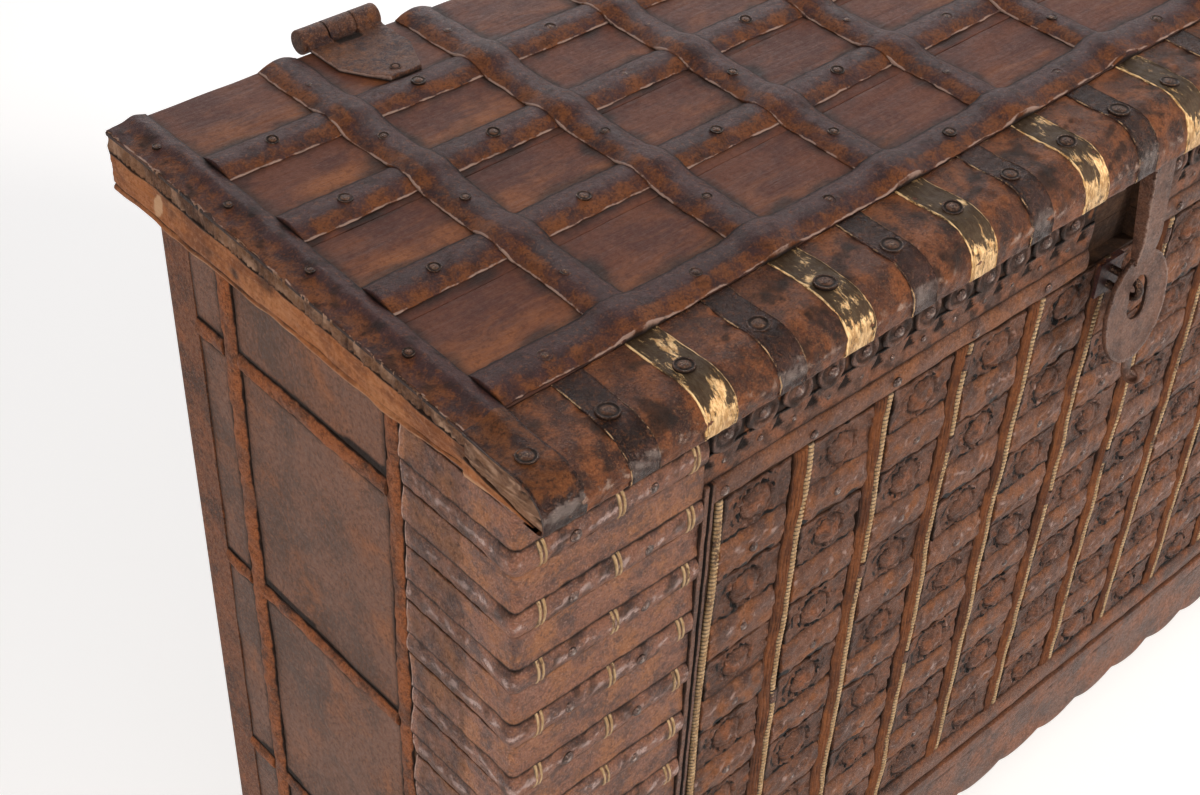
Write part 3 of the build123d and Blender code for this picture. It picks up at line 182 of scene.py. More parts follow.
def turned_down(count, turn):
    drop = np.zeros(count)
    drop[[2, -3]] = 0.3 * turn
    drop[[1, -2]] = turn
    drop[[0, -1]] = np.inf
    return drop


def relief(place, u, v, height, turn=1, foot=-0.6, **tones):
    """A sheet over a surface: height(U, V) above it, with its edges turned down to the foot. Height is in
    metres, turn and foot are in millimetres, and a tone is a number or is worked out from U and V."""
    U, V = np.meshgrid(u, v, indexing="ij")
    drop = np.maximum(turned_down(len(u), turn * MM)[:, None], turned_down(len(v), turn * MM)[None, :])
    skirt = np.isinf(drop)
    H = np.where(skirt, foot * MM, np.maximum(height(U, V) - np.where(skirt, 0, drop), foot * MM))
    shade = {name: tone(U, V) if callable(tone) else np.full(U.shape, tone) for name, tone in tones.items()}
    # Turned-down edges are painted near-black: painted shade in the gaps between parts
    shade["soot"] = np.where(skirt, 1.0, shade.get("soot", 0.0))
    points = place(U, V, H)
    i, j = len(u) // 2, len(v) // 2
    across = np.cross(points[i + 1, j] - points[i, j], points[i, j + 1] - points[i, j])
    outward = place(U, V, H + 1 * MM)[i, j] - points[i, j]
    return {"points": points, "tones": shade, "flip": across @ outward < 0}


def loft(rings, caps=True, loop=False, **tones):
    """A skin over closed rings of points, one row each."""
    rings = np.asarray(rings, float)
    shade = {name: np.broadcast_to(tone, rings.shape[:2]) for name, tone in tones.items()}
    patch = {"points": rings, "tones": shade, "ring": True, "caps": caps and not loop, "loop": loop}
    p = rings.reshape(-1, 3)
    a, b, c, d = ((p - p.mean(0))[corners] for corners in quads_of(patch, 0).T)
    volume = (np.cross(b - a, c - a) * a).sum() + (np.cross(c - a, d - a) * a).sum()
    patch["flip"] = volume < 0
    return patch


def quads_of(patch, start):
    n, m = patch["points"].shape[:2]
    index = start + np.arange(n * m).reshape(n, m)
    if patch.get("ring"):
        index = np.concatenate([index, index[:, :1]], axis=1)
    if patch.get("loop"):
        index = np.concatenate([index, index[:1]], axis=0)
    return np.stack([index[:-1, :-1], index[1:, :-1], index[1:, 1:], index[:-1, 1:]], axis=-1).reshape(-1, 4)


def turned_round(centre, axis, profile, turns=20, tilt=0.0, **tones):
    """A turned form: profile is (distance along the axis, radius) pairs; tones follow the profile."""
    axis = Vector(axis).normalized()
    side = axis.orthogonal().normalized()
    axis = (axis + tilt * side).normalized()
    side = (side - side.dot(axis) * axis).normalized()
    angles = np.linspace(0, 2 * math.pi, turns, endpoint=False)
    circle = np.outer(np.cos(angles), side) + np.outer(np.sin(angles), axis.cross(side))
    rings = [np.array(centre) + along * np.array(axis) + radius * circle for along, radius in profile]
    return loft(rings, **{name: np.array(tone, float)[:, None] for name, tone in tones.items()})


LID_SAG = 16 * MM
SAG_LENGTH = 650 * MM
SAG_DEPTH = 400 * MM


def settled(points):
    """The lid's top has sunk towards its front left corner, and its underside hasn't."""
    x, y, z = points.T
    sunk = np.clip(-x / SAG_LENGTH, 0, 1) * np.clip((FRONT + SAG_DEPTH - y) / SAG_DEPTH, 0, 1)
    sunk *= np.clip((z - LID_UNDER) / (LID_TOP - LID_UNDER), 0, 1)
    return np.stack([x, y, z - LID_SAG * sunk], axis=-1)


def piece(name, patches, material, body, slot, *replaced):
    """Joins patches into one object that rides on a body."""
    points, faces, start = [], [], 0
    tones = {tone: [] for tone in TONES}
    for patch in patches:
        count, width = patch["points"].shape[:2]
        found = quads_of(patch, start).tolist()
        if patch.get("caps"):
            found.append(list(range(start, start + width)))
            found.append(list(range(start + count * width - 1, start + (count - 1) * width - 1, -1)))
        faces += [face[::-1] for face in found] if patch["flip"] else found
        points.append(patch["points"].reshape(-1, 3))
        for tone in TONES:
            tones[tone].append(np.broadcast_to(patch["tones"].get(tone, 0.0), (count, width)).ravel())
        start += count * width
    points = np.concatenate(points)
    if body == "lid":
        points = settled(points)
    mesh = bpy.data.meshes.new(name)
    mesh.from_pydata(points.tolist(), [], faces)
    for tone in TONES:
        values = mesh.attributes.new(tone, "FLOAT", "POINT")
        values.data.foreach_set("value", np.clip(np.concatenate(tones[tone]), 0, 1).astype(np.float32))
    mesh.shade_smooth()
    mesh.set_sharp_from_angle(angle=math.radians(50))
    mesh.materials.append(material)
    made = bpy.data.objects.new(name, mesh)
    bpy.context.scene.collection.objects.link(made)
    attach(made, body)
    if replaced:
        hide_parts(*replaced)


def dress(material, *nodes):
    """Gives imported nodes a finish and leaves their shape."""
    for node in nodes:
        for material_slot in frame["nodes"][node].material_slots:
            material_slot.material = material


# ------------------------------------------------------------------ surfaces that pieces lie on
def on_front(x, z, h):
    return np.stack([x, FRONT - h, z], axis=-1)


def on_top(x, y, h):
    return np.stack([x, y, LID_TOP + h], axis=-1)


def on_side(side):
    """Distance back from the case's front, height, and rise off the left (-1) or right (1) side."""
    return lambda s, z, h: np.stack([side * (HALF_CASE + h), FRONT + s, z], axis=-1)


def on_end(side):
    """Distance back, height, and rise off the lid's left (-1) or right (1) end."""
    return lambda y, z, h: np.stack([side * (END_FACE + h), y, z], axis=-1)


END_FACE = HALF_LID - 3.2 * MM
CORNER_START = HALF_PANEL + SEAM
CORNER_FRONT_RUN = HALF_CASE - CORNER_RADIUS - CORNER_START
CORNER_BEND = CORNER_RADIUS * math.pi / 2
CORNER_LENGTH = CORNER_FRONT_RUN + CORNER_BEND + BAND_END - CORNER_RADIUS


def round_corner(side):
    """Distance along the front stile from the panel, round the corner and back along the side."""
    def place(s, z, h):
        past = s - CORNER_FRONT_RUN
        angle = np.clip(past / CORNER_RADIUS, 0, math.pi / 2)
        out_front = h * np.where(past > 0, smooth(CORNER_LENGTH, CORNER_FRONT_RUN + CORNER_BEND, s), 1)
        out_side = h * smooth(-30 * MM, 0, past)
        x = HALF_CASE - CORNER_RADIUS + np.minimum(past, 0) + CORNER_RADIUS * np.sin(angle) + out_side
        back = CORNER_RADIUS - CORNER_RADIUS * np.cos(angle) + np.maximum(past - CORNER_BEND, 0)
        return np.stack([side * x, FRONT + back - out_front, z], axis=-1)
    return place


NOSE_TOP_RUN = NOSE_STOP - NOSE_WOOD - NOSE_RADIUS
NOSE_ROLL = NOSE_RADIUS * math.pi / 2
NOSE_FACE_RUN = NOSE_WOOD_TOP - LID_UNDER - NOSE_RADIUS - NOSE_LOWER_RADIUS
NOSE_HEEL = NOSE_LOWER_RADIUS * math.pi / 2
HEEL_START = NOSE_TOP_RUN + NOSE_ROLL + NOSE_FACE_RUN
NOSE_LENGTH = HEEL_START + NOSE_HEEL + 14 * MM
HEEL_CLEARANCE = 0.4 * MM


def over_nose(x, s, h):
    """Distance from the front long strap forwards over the lid's rolled nose and under it."""
    roll = np.clip((s - NOSE_TOP_RUN) / NOSE_RADIUS, 0, math.pi / 2)
    heel = np.clip((s - HEEL_START) / NOSE_LOWER_RADIUS, 0, math.pi / 2)
    front = NOSE_WOOD + NOSE_RADIUS - np.sin(roll) * (NOSE_RADIUS + h)
    top = NOSE_WOOD_TOP - NOSE_RADIUS + np.cos(roll) * (NOSE_RADIUS + h)
    y = front + np.maximum(NOSE_TOP_RUN - s, 0)
    z = top - np.clip(s - NOSE_TOP_RUN - NOSE_ROLL, 0, NOSE_FACE_RUN)
    under = np.maximum(s - HEEL_START - NOSE_HEEL, 0)
    heel_y = NOSE_WOOD + NOSE_LOWER_RADIUS - np.cos(heel) * (NOSE_LOWER_RADIUS + h) + under
    heel_rise = NOSE_LOWER_RADIUS + np.minimum(h, HEEL_CLEARANCE)
    heel_z = LID_UNDER + NOSE_LOWER_RADIUS - np.sin(heel) * heel_rise
    return np.stack([x, np.where(heel > 0, heel_y, y), np.where(heel > 0, heel_z, z)], axis=-1)


# ------------------------------------------------------------------ materials
MIX_A, MIX_B, MIX_RESULT = 6, 7, 2
# Near-black of grime and of painted shade in seams, gaps and recesses
GRIME_AND_SHADE_COLOUR = "#140e0b"
TORN_THROUGH = "#060403"


def linear(code):
    """An sRGB hex colour as linear RGBA."""
    parts = [int(code[k:k + 2], 16) / 255 for k in (1, 3, 5)]
    return [part / 12.92 if part <= 0.04045 else ((part + 0.055) / 1.055) ** 2.4 for part in parts] + [1.0]


def add(tree, kind, links=None, out=0, **settings):
    """Adds a shader node and returns an output. Links map inputs to numbers, hex colours or outputs."""
    node = tree.nodes.new("ShaderNode" + kind)
    for name, value in settings.items():
        setattr(node, name, value)
    for name, value in (links or {}).items():
        if isinstance(value, bpy.types.NodeSocket):
            tree.links.new(value, node.inputs[name])
        else:
            node.inputs[name].default_value = linear(value) if isinstance(value, str) else value
    return node.outputs[out]


def new_material(name, roughness=0.5, metallic=0.0, mirror=0.5):
    """A material with its tree and shader. Dry oxide and old wax mirror less than the default 0.5."""
    material = bpy.data.materials.new(name)
    material.use_nodes = True
    surface = material.node_tree.nodes["Principled BSDF"]
    surface.inputs["Roughness"].default_value = roughness
    surface.inputs["Metallic"].default_value = metallic
    surface.inputs["Specular IOR Level"].default_value = mirror
    return material, material.node_tree, surface


def finished(tree, surface, colour, roughness, normal):
    """Joins a finish's colour, gloss and relief to its shader."""
    tree.links.new(colour, surface.inputs["Base Color"])
    tree.links.new(roughness, surface.inputs["Roughness"])
    tree.links.new(normal, surface.inputs["Normal"])


def cloud(tree, where, size, detail=4.0, rough=0.55, stretch=(1, 1, 1), distortion=0.0):
    """Uneven patches about the given size in metres, longer by the stretch along each axis."""
    scaled = add(tree, "Mapping", {"Vector": where, "Scale": [1 / s for s in stretch]})
    return add(tree, "TexNoise", {"Vector": scaled, "Scale": 1 / size, "Detail": detail, "Roughness": rough,
                                  "Distortion": distortion})


def painted(tree, tone, patches, reach):
    """A tone from the mesh times its reach, broken up by patches of the finish."""
    found = add(tree, "Attribute", out="Fac", attribute_name=tone)
    return add(tree, "Math", {0: found, 1: reach, 2: patches}, operation="MULTIPLY_ADD")


def layer(tree, below, colour, amount, low, high, most=1.0):
    """Lays a colour over another where the amount climbs from low to high."""
    share = add(tree, "MapRange", {0: amount, 1: low, 2: high, 4: most}, interpolation_type="SMOOTHSTEP")
    return add(tree, "Mix", {0: share, MIX_A: below, MIX_B: colour}, MIX_RESULT, data_type="RGBA")


def aged_iron(name, dark, body, rust, dust, rough=(0.34, 0.62), metallic=0.25, rust_share=0.35,
              worn="#85746c", patch=50 * MM, grain=5 * MM, depth=0.5, dusty=0.4):
    """Iron under brown oxide: dark and brown clouds, flecks of rust and scale, rust in blotches where the
    tone says, pale dust on the edges, rubbed patches that also paint highlights, grime and painted shade in
    the seams and black where the sheet is torn."""
    material, tree, surface = new_material(name, metallic=metallic, mirror=0.22)
    where = add(tree, "TexCoord", out="Object")
    clouds = cloud(tree, where, patch, 9, 0.72)
    blotches = cloud(tree, where, patch / 3, 9, 0.78, distortion=0.4)
    scale = cloud(tree, where, grain, 7, 0.82)
    flecks = cloud(tree, where, grain * 0.8, 6, 0.8, distortion=0.3)
    pits = cloud(tree, where, grain * 0.35, 4, 0.8)
    colour = layer(tree, dark, body, clouds, 0.40, 0.57)
    rusty = painted(tree, "rust", blotches, 0.3)
    start = 0.6 - 0.25 * rust_share
    colour = layer(tree, colour, rust, rusty, start, start + 0.24, 0.9)
    colour = layer(tree, colour, dark, scale, 0.5, 0.6, 0.7)
    colour = layer(tree, colour, rust, flecks, 0.53, 0.62, 0.55)
    colour = layer(tree, colour, dark, pits, 0.5, 0.62, 0.5)
    colour = layer(tree, colour, dust, pits, 0.46, 0.36, dusty)
    # Lighter where the tone is laid: rubbing, and painted highlights on crowns, rims and crests
    colour = layer(tree, colour, worn, painted(tree, "worn", scale, 0.5), 0.66, 0.95, 0.85)
    colour = layer(tree, colour, dust, painted(tree, "edge", scale, 0.6), 0.86, 1.04)
    # Near-black grime, and painted shade in seams, gaps, hollows and under lips
    colour = layer(tree, colour, GRIME_AND_SHADE_COLOUR, painted(tree, "soot", blotches, 0.9), 0.62, 1.25, 0.96)
    torn = add(tree, "MapRange", {0: painted(tree, "tear", flecks, 0.8), 1: 0.86, 2: 0.92})
    colour = layer(tree, colour, TORN_THROUGH, torn, 0.2, 0.6)
    roughness = add(tree, "MapRange", {0: scale, 1: 0.38, 2: 0.62, 3: rough[0], 4: rough[1]})
    for tone, reach in (("rust", 0.12), ("worn", -0.12), ("soot", 0.25)):
        roughness = painted(tree, tone, roughness, reach)
    normal = add(tree, "Bump", {"Strength": depth, "Distance": 7 * MM, "Height": blotches})
    normal = add(tree, "Bump", {"Strength": depth, "Distance": 3.4 * MM, "Height": scale, "Normal": normal})
    normal = add(tree, "Bump", {"Strength": depth, "Distance": 1.2 * MM, "Height": pits, "Normal": normal})
    normal = add(tree, "Bump", {"Strength": 0.9, "Distance": 1.5 * MM, "Height": torn, "Normal": normal},
                 invert=True)
    finished(tree, surface, colour, roughness, normal)
    return material


def aged_wood(name, deep, body, pale, grain, rough=(0.45, 0.7), along=0, wear="#a98257", rust="#7a4a2a",
              depth=0.35, streak=0.6):
    """Old oiled hardwood: long grain, darker clouds and rubbed patches, paler where the edge is worn."""
    material, tree, surface = new_material(name, mirror=0.2)
    where = add(tree, "TexCoord", out="Object")
    stretch = [14.0 if axis == along else 1.0 for axis in range(3)]
    broad = [3.0 if axis == along else 1.0 for axis in range(3)]
    fibres = cloud(tree, where, grain, 6, 0.72, stretch, 0.4)
    pores = cloud(tree, where, grain * 0.35, 3, 0.6, stretch)
    figure = cloud(tree, where, grain * 6, 7, 0.7, broad, 0.8)
    clouds = cloud(tree, where, 60 * MM, 8, 0.7)
    mottle = cloud(tree, where, 5 * MM, 7, 0.82)
    colour = layer(tree, deep, body, fibres, 0.36, 0.56, streak)
    colour = layer(tree, body, colour, clouds, 0.42, 0.56)
    colour = layer(tree, colour, pale, figure, 0.46, 0.64, 0.6)
    colour = layer(tree, colour, deep, clouds, 0.5, 0.64, 0.7)
    colour = layer(tree, colour, rust, painted(tree, "rust", figure, 0.5), 0.55, 1.05, 0.9)
    colour = layer(tree, colour, deep, pores, 0.52, 0.66, 0.5 * streak)
    colour = layer(tree, colour, deep, mottle, 0.5, 0.6, 0.5)
    colour = layer(tree, colour, pale, mottle, 0.47, 0.38, 0.4)
    colour = layer(tree, colour, wear, painted(tree, "edge", mottle, 0.6), 0.65, 1.0, 0.9)
    # Near-black grime and splits, and painted shade beside the straps, under the nose and between the frieze
    # lobes
    colour = layer(tree, colour, "#170f0b", painted(tree, "soot", clouds, 0.9), 0.55, 1.35, 0.95)
    roughness = add(tree, "MapRange", {0: mottle, 1: 0.38, 2: 0.62, 3: rough[0], 4: rough[1]})
    normal = add(tree, "Bump", {"Strength": depth, "Distance": 4 * MM, "Height": fibres})
    normal = add(tree, "Bump", {"Strength": depth, "Distance": 1.6 * MM, "Height": mottle, "Normal": normal})
    finished(tree, surface, colour, roughness, normal)
    return material


def aged_brass(name, bright, body, patina, patina_share, metallic=0.7):
    """Hand-beaten brass: gold where it is rubbed, with a brown-black patina left in scratched patches."""
    material, tree, surface = new_material(name, metallic=metallic)
    where = add(tree, "TexCoord", out="Object")
    scratch = (1, 3, 3)
    clouds = cloud(tree, where, 7 * MM, 9, 0.82, scratch, 0.4)
    specks = cloud(tree, where, 3 * MM, 6, 0.8, scratch)
    colour = layer(tree, body, bright, specks, 0.42, 0.6)
    middle = 0.67 - 0.28 * patina_share
    dark = add(tree, "MapRange", {0: painted(tree, "rust", clouds, 0.17), 1: middle, 2: middle + 0.05})
    colour = layer(tree, colour, patina, dark, 0, 1, 0.94)
    colour = layer(tree, colour, bright, painted(tree, "edge", specks, 0.6), 0.8, 1.0)
    # Near-black oxide between the beads, and painted shade between the clip wires and at turned-down edges
    colour = layer(tree, colour, "#140e08", painted(tree, "soot", specks, 0.9), 0.6, 1.3, 0.95)
    roughness = add(tree, "MapRange", {0: dark, 3: 0.34, 4: 0.5})
    beaten = cloud(tree, where, 8 * MM, 6, 0.7)
    normal = add(tree, "Bump", {"Strength": 0.5, "Distance": 4 * MM, "Height": beaten})
    normal = add(tree, "Bump", {"Strength": 0.4, "Distance": 1.5 * MM, "Height": specks, "Normal": normal})
    finished(tree, surface, colour, roughness, normal)
    return material


# Hand-forged strap iron: dark oxide waxed on the crown, rust brown below it
strap_iron = aged_iron("forged_strap_iron", "#2e1a1a", "#412524", "#7f4922", "#a5897c", (0.32, 0.52),
                       rust_share=0.0, patch=30 * MM, depth=0.4, dusty=0.1)
# Sheet iron beaten over the nose: brown with orange rust and dark worn patches
nose_iron = aged_iron("beaten_nose_sheet_iron", "#331f19", "#5b3422", "#8b512c", "#b08a68", (0.2, 0.42), 0.3,
                      0.3, "#a58a7a", dusty=0.25)
# Iron straps over the nose: black, polished where hands and wrists cross the edge, with a painted highlight
# along the crest of the roll
black_iron = aged_iron("polished_black_iron", "#1c0f0c", "#321d18", "#6a3d1e", "#b0906c", (0.16, 0.34), 0.6,
                       0.1, "#766963", depth=0.3, dusty=0.08)
# Embossed sheet iron of the front: brown oxide over the whole, dust in the relief
panel_iron = aged_iron("embossed_sheet_iron", "#4a352d", "#77513e", "#985d3a", "#bd9e92", (0.24, 0.48), 0.25,
                       0.3, "#b5998f", depth=0.7)
# Raised bands between the squares: the same sheet, rubbed down to a warmer brown, with painted highlights on
# their crowns
raised_iron = aged_iron("rubbed_band_iron", "#50362c", "#7d5440", "#995f36", "#c0a296", (0.26, 0.48), 0.25,
                        0.3, "#b99c92", depth=0.7)
# Rolled iron of the corner bands: warm brown, lighter on the rounds where rubbed and where highlights are
# painted
band_iron = aged_iron("rolled_band_iron", "#58423d", "#93644f", "#a87049", "#c8a99c", (0.22, 0.46), 0.3,
                      0.2, "#bfa49c", 26 * MM, depth=0.6)
# Smooth sheets of the sides: grey-brown oxide that has kept a dull wax
side_iron = aged_iron("dull_sheet_iron", "#463127", "#6b4837", "#875331", "#8f7460", (0.4, 0.62), 0.15,
                      0.2, patch=110 * MM, depth=0.35, dusty=0.25)
# Straps of the sides: half-round iron gone to orange rust
rusty_iron = aged_iron("rusty_strap_iron", "#452a1f", "#784930", "#a05c32", "#b98f6a", (0.42, 0.7), 0.15,
                       0.45, depth=0.7)
# Hasp: forged iron handled smooth to a pinkish brown
hasp_iron = aged_iron("handled_hasp_iron", "#4a332a", "#7b5847", "#8d5c40", "#b89e92", (0.26, 0.46), 0.3,
                      0.2, patch=26 * MM, depth=0.6)
# Hinges: forged iron, brown where it rubs and dark on the leaf
hinge_iron = aged_iron("forged_hinge_iron", "#33262a", "#664535", "#8a5630", "#b3968a", (0.3, 0.52),
                       rust_share=0.15, patch=22 * MM, depth=0.6, dusty=0.3)
# Nail heads: dark forged iron, polished by dusting
nail_iron = aged_iron("forged_nail_iron", "#231917", "#46342d", "#6b4226", "#b59a80", (0.16, 0.32), 0.7,
                      0.2, "#b3a498", 8 * MM, depth=0.3)
# Nail heads of the front: the same iron, rubbed to a lighter grey-brown, with painted highlights on the domes
front_nail_iron = aged_iron("rubbed_nail_iron", "#3a2e2a", "#665049", "#7b5238", "#cdbcb2", (0.18, 0.34), 0.6,
                            0.15, "#c4b4aa", 8 * MM, depth=0.3)

# Brass beaten over the nose: gold on the roll, black-brown patina above it
strap_brass = aged_brass("beaten_strap_brass", "#e6c390", "#ad8350", "#23150a", 0.5)
# Brass clips and bead strips: duller, and brown between the beads
bead_brass = aged_brass("beaded_brass", "#c4a57c", "#99784f", "#5a3c26", 0.32, 0.35)

# Lid planks: close-grained hardwood, red-brown, waxed by handling
lid_wood = aged_wood("waxed_lid_planks", "#4e2b22", "#663a28", "#704430", 4 * MM, (0.42, 0.6),
                     rust="#9a5e35", depth=0.3, streak=0.4)
# Fascias at the lid's ends: the same wood, dry and rubbed to orange-tan
rail_wood = aged_wood("dry_end_fascia_wood", "#6a3f25", "#9a6038", "#b07a52", 4 * MM, (0.5, 0.75), 1,
                      "#c09a78", "#8a5030", 0.7)
# Frayed ends of the planks and of the nose: grey-tan end grain
end_wood = aged_wood("frayed_end_grain", "#4c3428", "#7b583f", "#987158", 3 * MM, (0.5, 0.8), 1, "#b08e76",
                     depth=0.9)
# Case boards and rails: dark hardwood, unfinished inside, with the grain along the front or the sides
DARK_WOOD = ("#241710", "#3f2919", "#563a26", 3.5 * MM, (0.55, 0.8))
case_wood = aged_wood("dark_case_wood", *DARK_WOOD)
side_board_wood = aged_wood("dark_side_board_wood", *DARK_WOOD, along=1)
# Posts: the same hardwood, rubbed lighter on their arrises
post_wood = aged_wood("dark_post_wood", "#33211a", "#553722", "#6d482b", 3.5 * MM, (0.5, 0.75), 2)
# Reeded battens: wood stained orange-brown by the iron beside it
batten_wood = aged_wood("stained_batten_wood", "#553222", "#86512f", "#9d6238", 3 * MM, (0.45, 0.7), 2,
                        "#a8774c", depth=0.6)


# ------------------------------------------------------------------ nails
UP = (0, 0, 1)


def nudged(centre, reach, random):
    """A place set a little askew, as by hand."""
    return Vector(centre) + Vector(random.uniform(-1, 1, 3)) * reach


def cupped_head(centre, radius, seed, axis=UP):
    """A forged head with a low thin rim and a shallow ring round its middle."""
    random = np.random.default_rng(seed)
    r = radius * random.uniform(0.85, 1.05)
    profile = [(-1.5 * MM, r), (0.04 * r, r), (0.14 * r, 0.97 * r), (0.16 * r, 0.9 * r), (0.1 * r, 0.82 * r),
               (0.08 * r, 0.7 * r), (0.16 * r, 0.5 * r), (0.22 * r, 0.28 * r), (0.23 * r, 0.01 * r)]
    centre = nudged(centre, 0.8 * MM, random)
    return turned_round(centre, axis, profile, tilt=random.uniform(-0.12, 0.12),
                        worn=[0, 0.1, 0.35, 0.25, 0, 0, 0.1, 0.2, 0.2],
                        soot=[1, 0.6, 0, 0.1, 0.7, 0.8, 0.2, 0, 0],
                        rust=[0.6, 0.5, 0.2, 0, 0.3, 0.6, 0.5, 0.4, 0.4])


def front_head(x, z, proud, radius, rise, seed):
    """A domed head on the front, its foot proud of the boards. All but the seed are in metres."""
    random = np.random.default_rng(seed)
    r = radius * random.uniform(0.88, 1.08)
    rise = rise * random.uniform(0.85, 1.1)
    angles = np.linspace(0.08, 1.57, 7)
    profile = [(-2 * MM, r)] + [(rise * math.sin(a), r * math.cos(a) + 0.01 * r) for a in angles]
    centre = nudged((x, FRONT - proud, z), 0.7 * MM, random)
    # Dark at the foot: painted shade; lighter towards the top of the dome: a painted highlight with some
    # rubbing
    return turned_round(centre, (0, -1, 0), profile, turns=16, tilt=random.uniform(-0.12, 0.12),
                        soot=[1, 0.6, 0.2, 0, 0, 0, 0, 0], worn=[0, 0, 0, 0, 0.1, 0.3, 0.5, 0.6])


# ------------------------------------------------------------------ lid straps
def strap_crown(t):
    """Rise of a strap's section, from -1 at one edge to 1 at the other: thin flanges, round crown."""
    lean = np.clip((t - 0.08) / np.where(t > 0.08, 0.86, 1.03), -1, 1)
    return FLANGE + (STRAP_RISE - FLANGE) * (1 - np.abs(lean) ** 2.1)


def carried(along, crossings):
    """How far a strap is lifted where it passes over others."""
    lift = np.zeros_like(along)
    for middle in crossings:
        beside = np.abs(along - middle) - 4 * MM
        lift = np.maximum(lift, STRAP_RISE * smooth(1, 0, beside / (STRAP_WIDTH * 0.66)))
    return lift


def lid_strap(start, end, middle, across_x, crossings, seed):
    """One strap on the lid. It runs along X, or along Y when across_x is true."""
    half = STRAP_WIDTH / 2

    def place(u, v, h):
        drift = 1.0 * MM * uneven(u, 0, 150, seed)
        ragged = 0.5 * MM * uneven(u, 0, 13, seed + 7) * smooth(0.6, 1, np.abs(v) / half)
        v = middle + v * (1 + 0.03 * uneven(u, 0, 60, seed + 5)) + drift + ragged
        return on_top(v, u, h) if across_x else on_top(u, v, h)

    def height(u, v):
        dents = 0.2 * MM * uneven(u, v, 34, seed + 1) + 0.1 * MM * uneven(u, v, 12, seed + 8)
        lift = carried(u, crossings)
        return lift + strap_crown(v / half) * (1 - 0.2 * lift / STRAP_RISE) + dents * (1 - (v / half) ** 2)

    def rust(u, v):
        patchy = 0.75 + 0.25 * uneven(u, v, 35, seed + 3)
        return (smooth(-0.02, -0.42, v / half) + 0.4 * smooth(0.6, 1, v / half)) * patchy

    def edge(u, v):
        return bump(v / half, -0.98, 0.075) * (0.9 + 0.4 * uneven(u, v, 30, seed + 2))

    # Darker on the far flank: painted shade; the blotches elsewhere are grime
    def soot(u, v):
        far = 0.75 * smooth(0.78, 0.95, v / half)
        return np.maximum(far, 0.35 * smooth(0.2, 1.2, uneven(u, v, 20, seed + 4)))

    v = np.concatenate([[-1, -1, -0.985], np.linspace(-0.96, 0.96, 19), [0.985, 1, 1]]) * half
    return relief(place, stations(start, end, 4, 1), v, height, 0.5, rust=rust, edge=edge, soot=soot)


cross_start = ROW_YS[0] - STRAP_WIDTH / 2
cross_straps = [lid_strap(cross_start, LID_BACK, x, True, ROW_YS[1:], 10 + k) for k, x in enumerate(CROSS_XS)]
piece("lid_cross_straps", cross_straps, strap_iron, "lid", "forged_iron", "cross_straps")

strap_end = HALF_LID - EDGE_STRAP_WIDTH - SEAM
long_straps = [lid_strap(-strap_end, strap_end, y, False, [], 40 + k) for k, y in enumerate(ROW_YS[1:])]
long_straps.append(lid_strap(-strap_end, strap_end, ROW_YS[0], False, CROSS_XS, 50))
piece("lid_long_straps", long_straps, strap_iron, "lid", "forged_iron", "long_straps")


def end_crown(along, t, seed):
    """Rise of the strap on the lid's end: a crown on its inner side, t = -1, and a long outer slope."""
    crown = 1.2 * MM + 4.4 * MM * np.exp(-((t + 0.4) / 0.45) ** 2) - 0.7 * MM * smooth(0.6, 1, t)
    return crown + 0.45 * MM * uneven(along, t * EDGE_STRAP_WIDTH / 2, 24, seed)


def end_strap(side):
    half = EDGE_STRAP_WIDTH / 2

    def place(u, v, h):
        eaten = 0.9 * MM * uneven(u, 0, 46, 71 + side) + 0.6 * MM * uneven(u, 0, 9, 73 + side) - 1.5 * MM
        return on_top(side * (EDGE_STRAP_X + v + np.minimum(eaten * smooth(0.3, 1, v / half), 0)), u, h)

    def height(u, v):
        return end_crown(u, v / half, 75 + side)

    def rust(u, v):
        return 0.9 * smooth(-0.35, 0.25, v / half) * (0.75 + 0.35 * uneven(u, v, 30, 78 + side))

    def edge(u, v):
        return bump(v / half, 0.99, 0.1) * (0.6 + 0.4 * uneven(u, v, 14, 77))

    # Darker along the inner edge, where it meets the planks: painted shade; the blotches are grime
    def soot(u, v):
        inner = 0.7 * smooth(-0.85, -0.97, v / half)
        return np.maximum(inner, 0.55 * smooth(0.1, 1.0, uneven(u, v, 22, 79 + side)))

    return relief(place, stations(NOSE_STOP - 1 * MM, LID_BACK, 5, 1), stations(-half, half, 2, 0.5), height,
                  0.5, -1, rust=rust, edge=edge, soot=soot)


piece("lid_end_straps", [end_strap(side) for side in SIDES], strap_iron, "lid", "forged_iron", "edge_straps")

# ------------------------------------------------------------------ nose
NOSE_PLATE_RISE = 1.6 * MM
NOSE_STRAP_RISE = 3.6 * MM
CREST = NOSE_TOP_RUN + NOSE_ROLL * 0.86
STEP_UP = LID_TOP - NOSE_WOOD_TOP


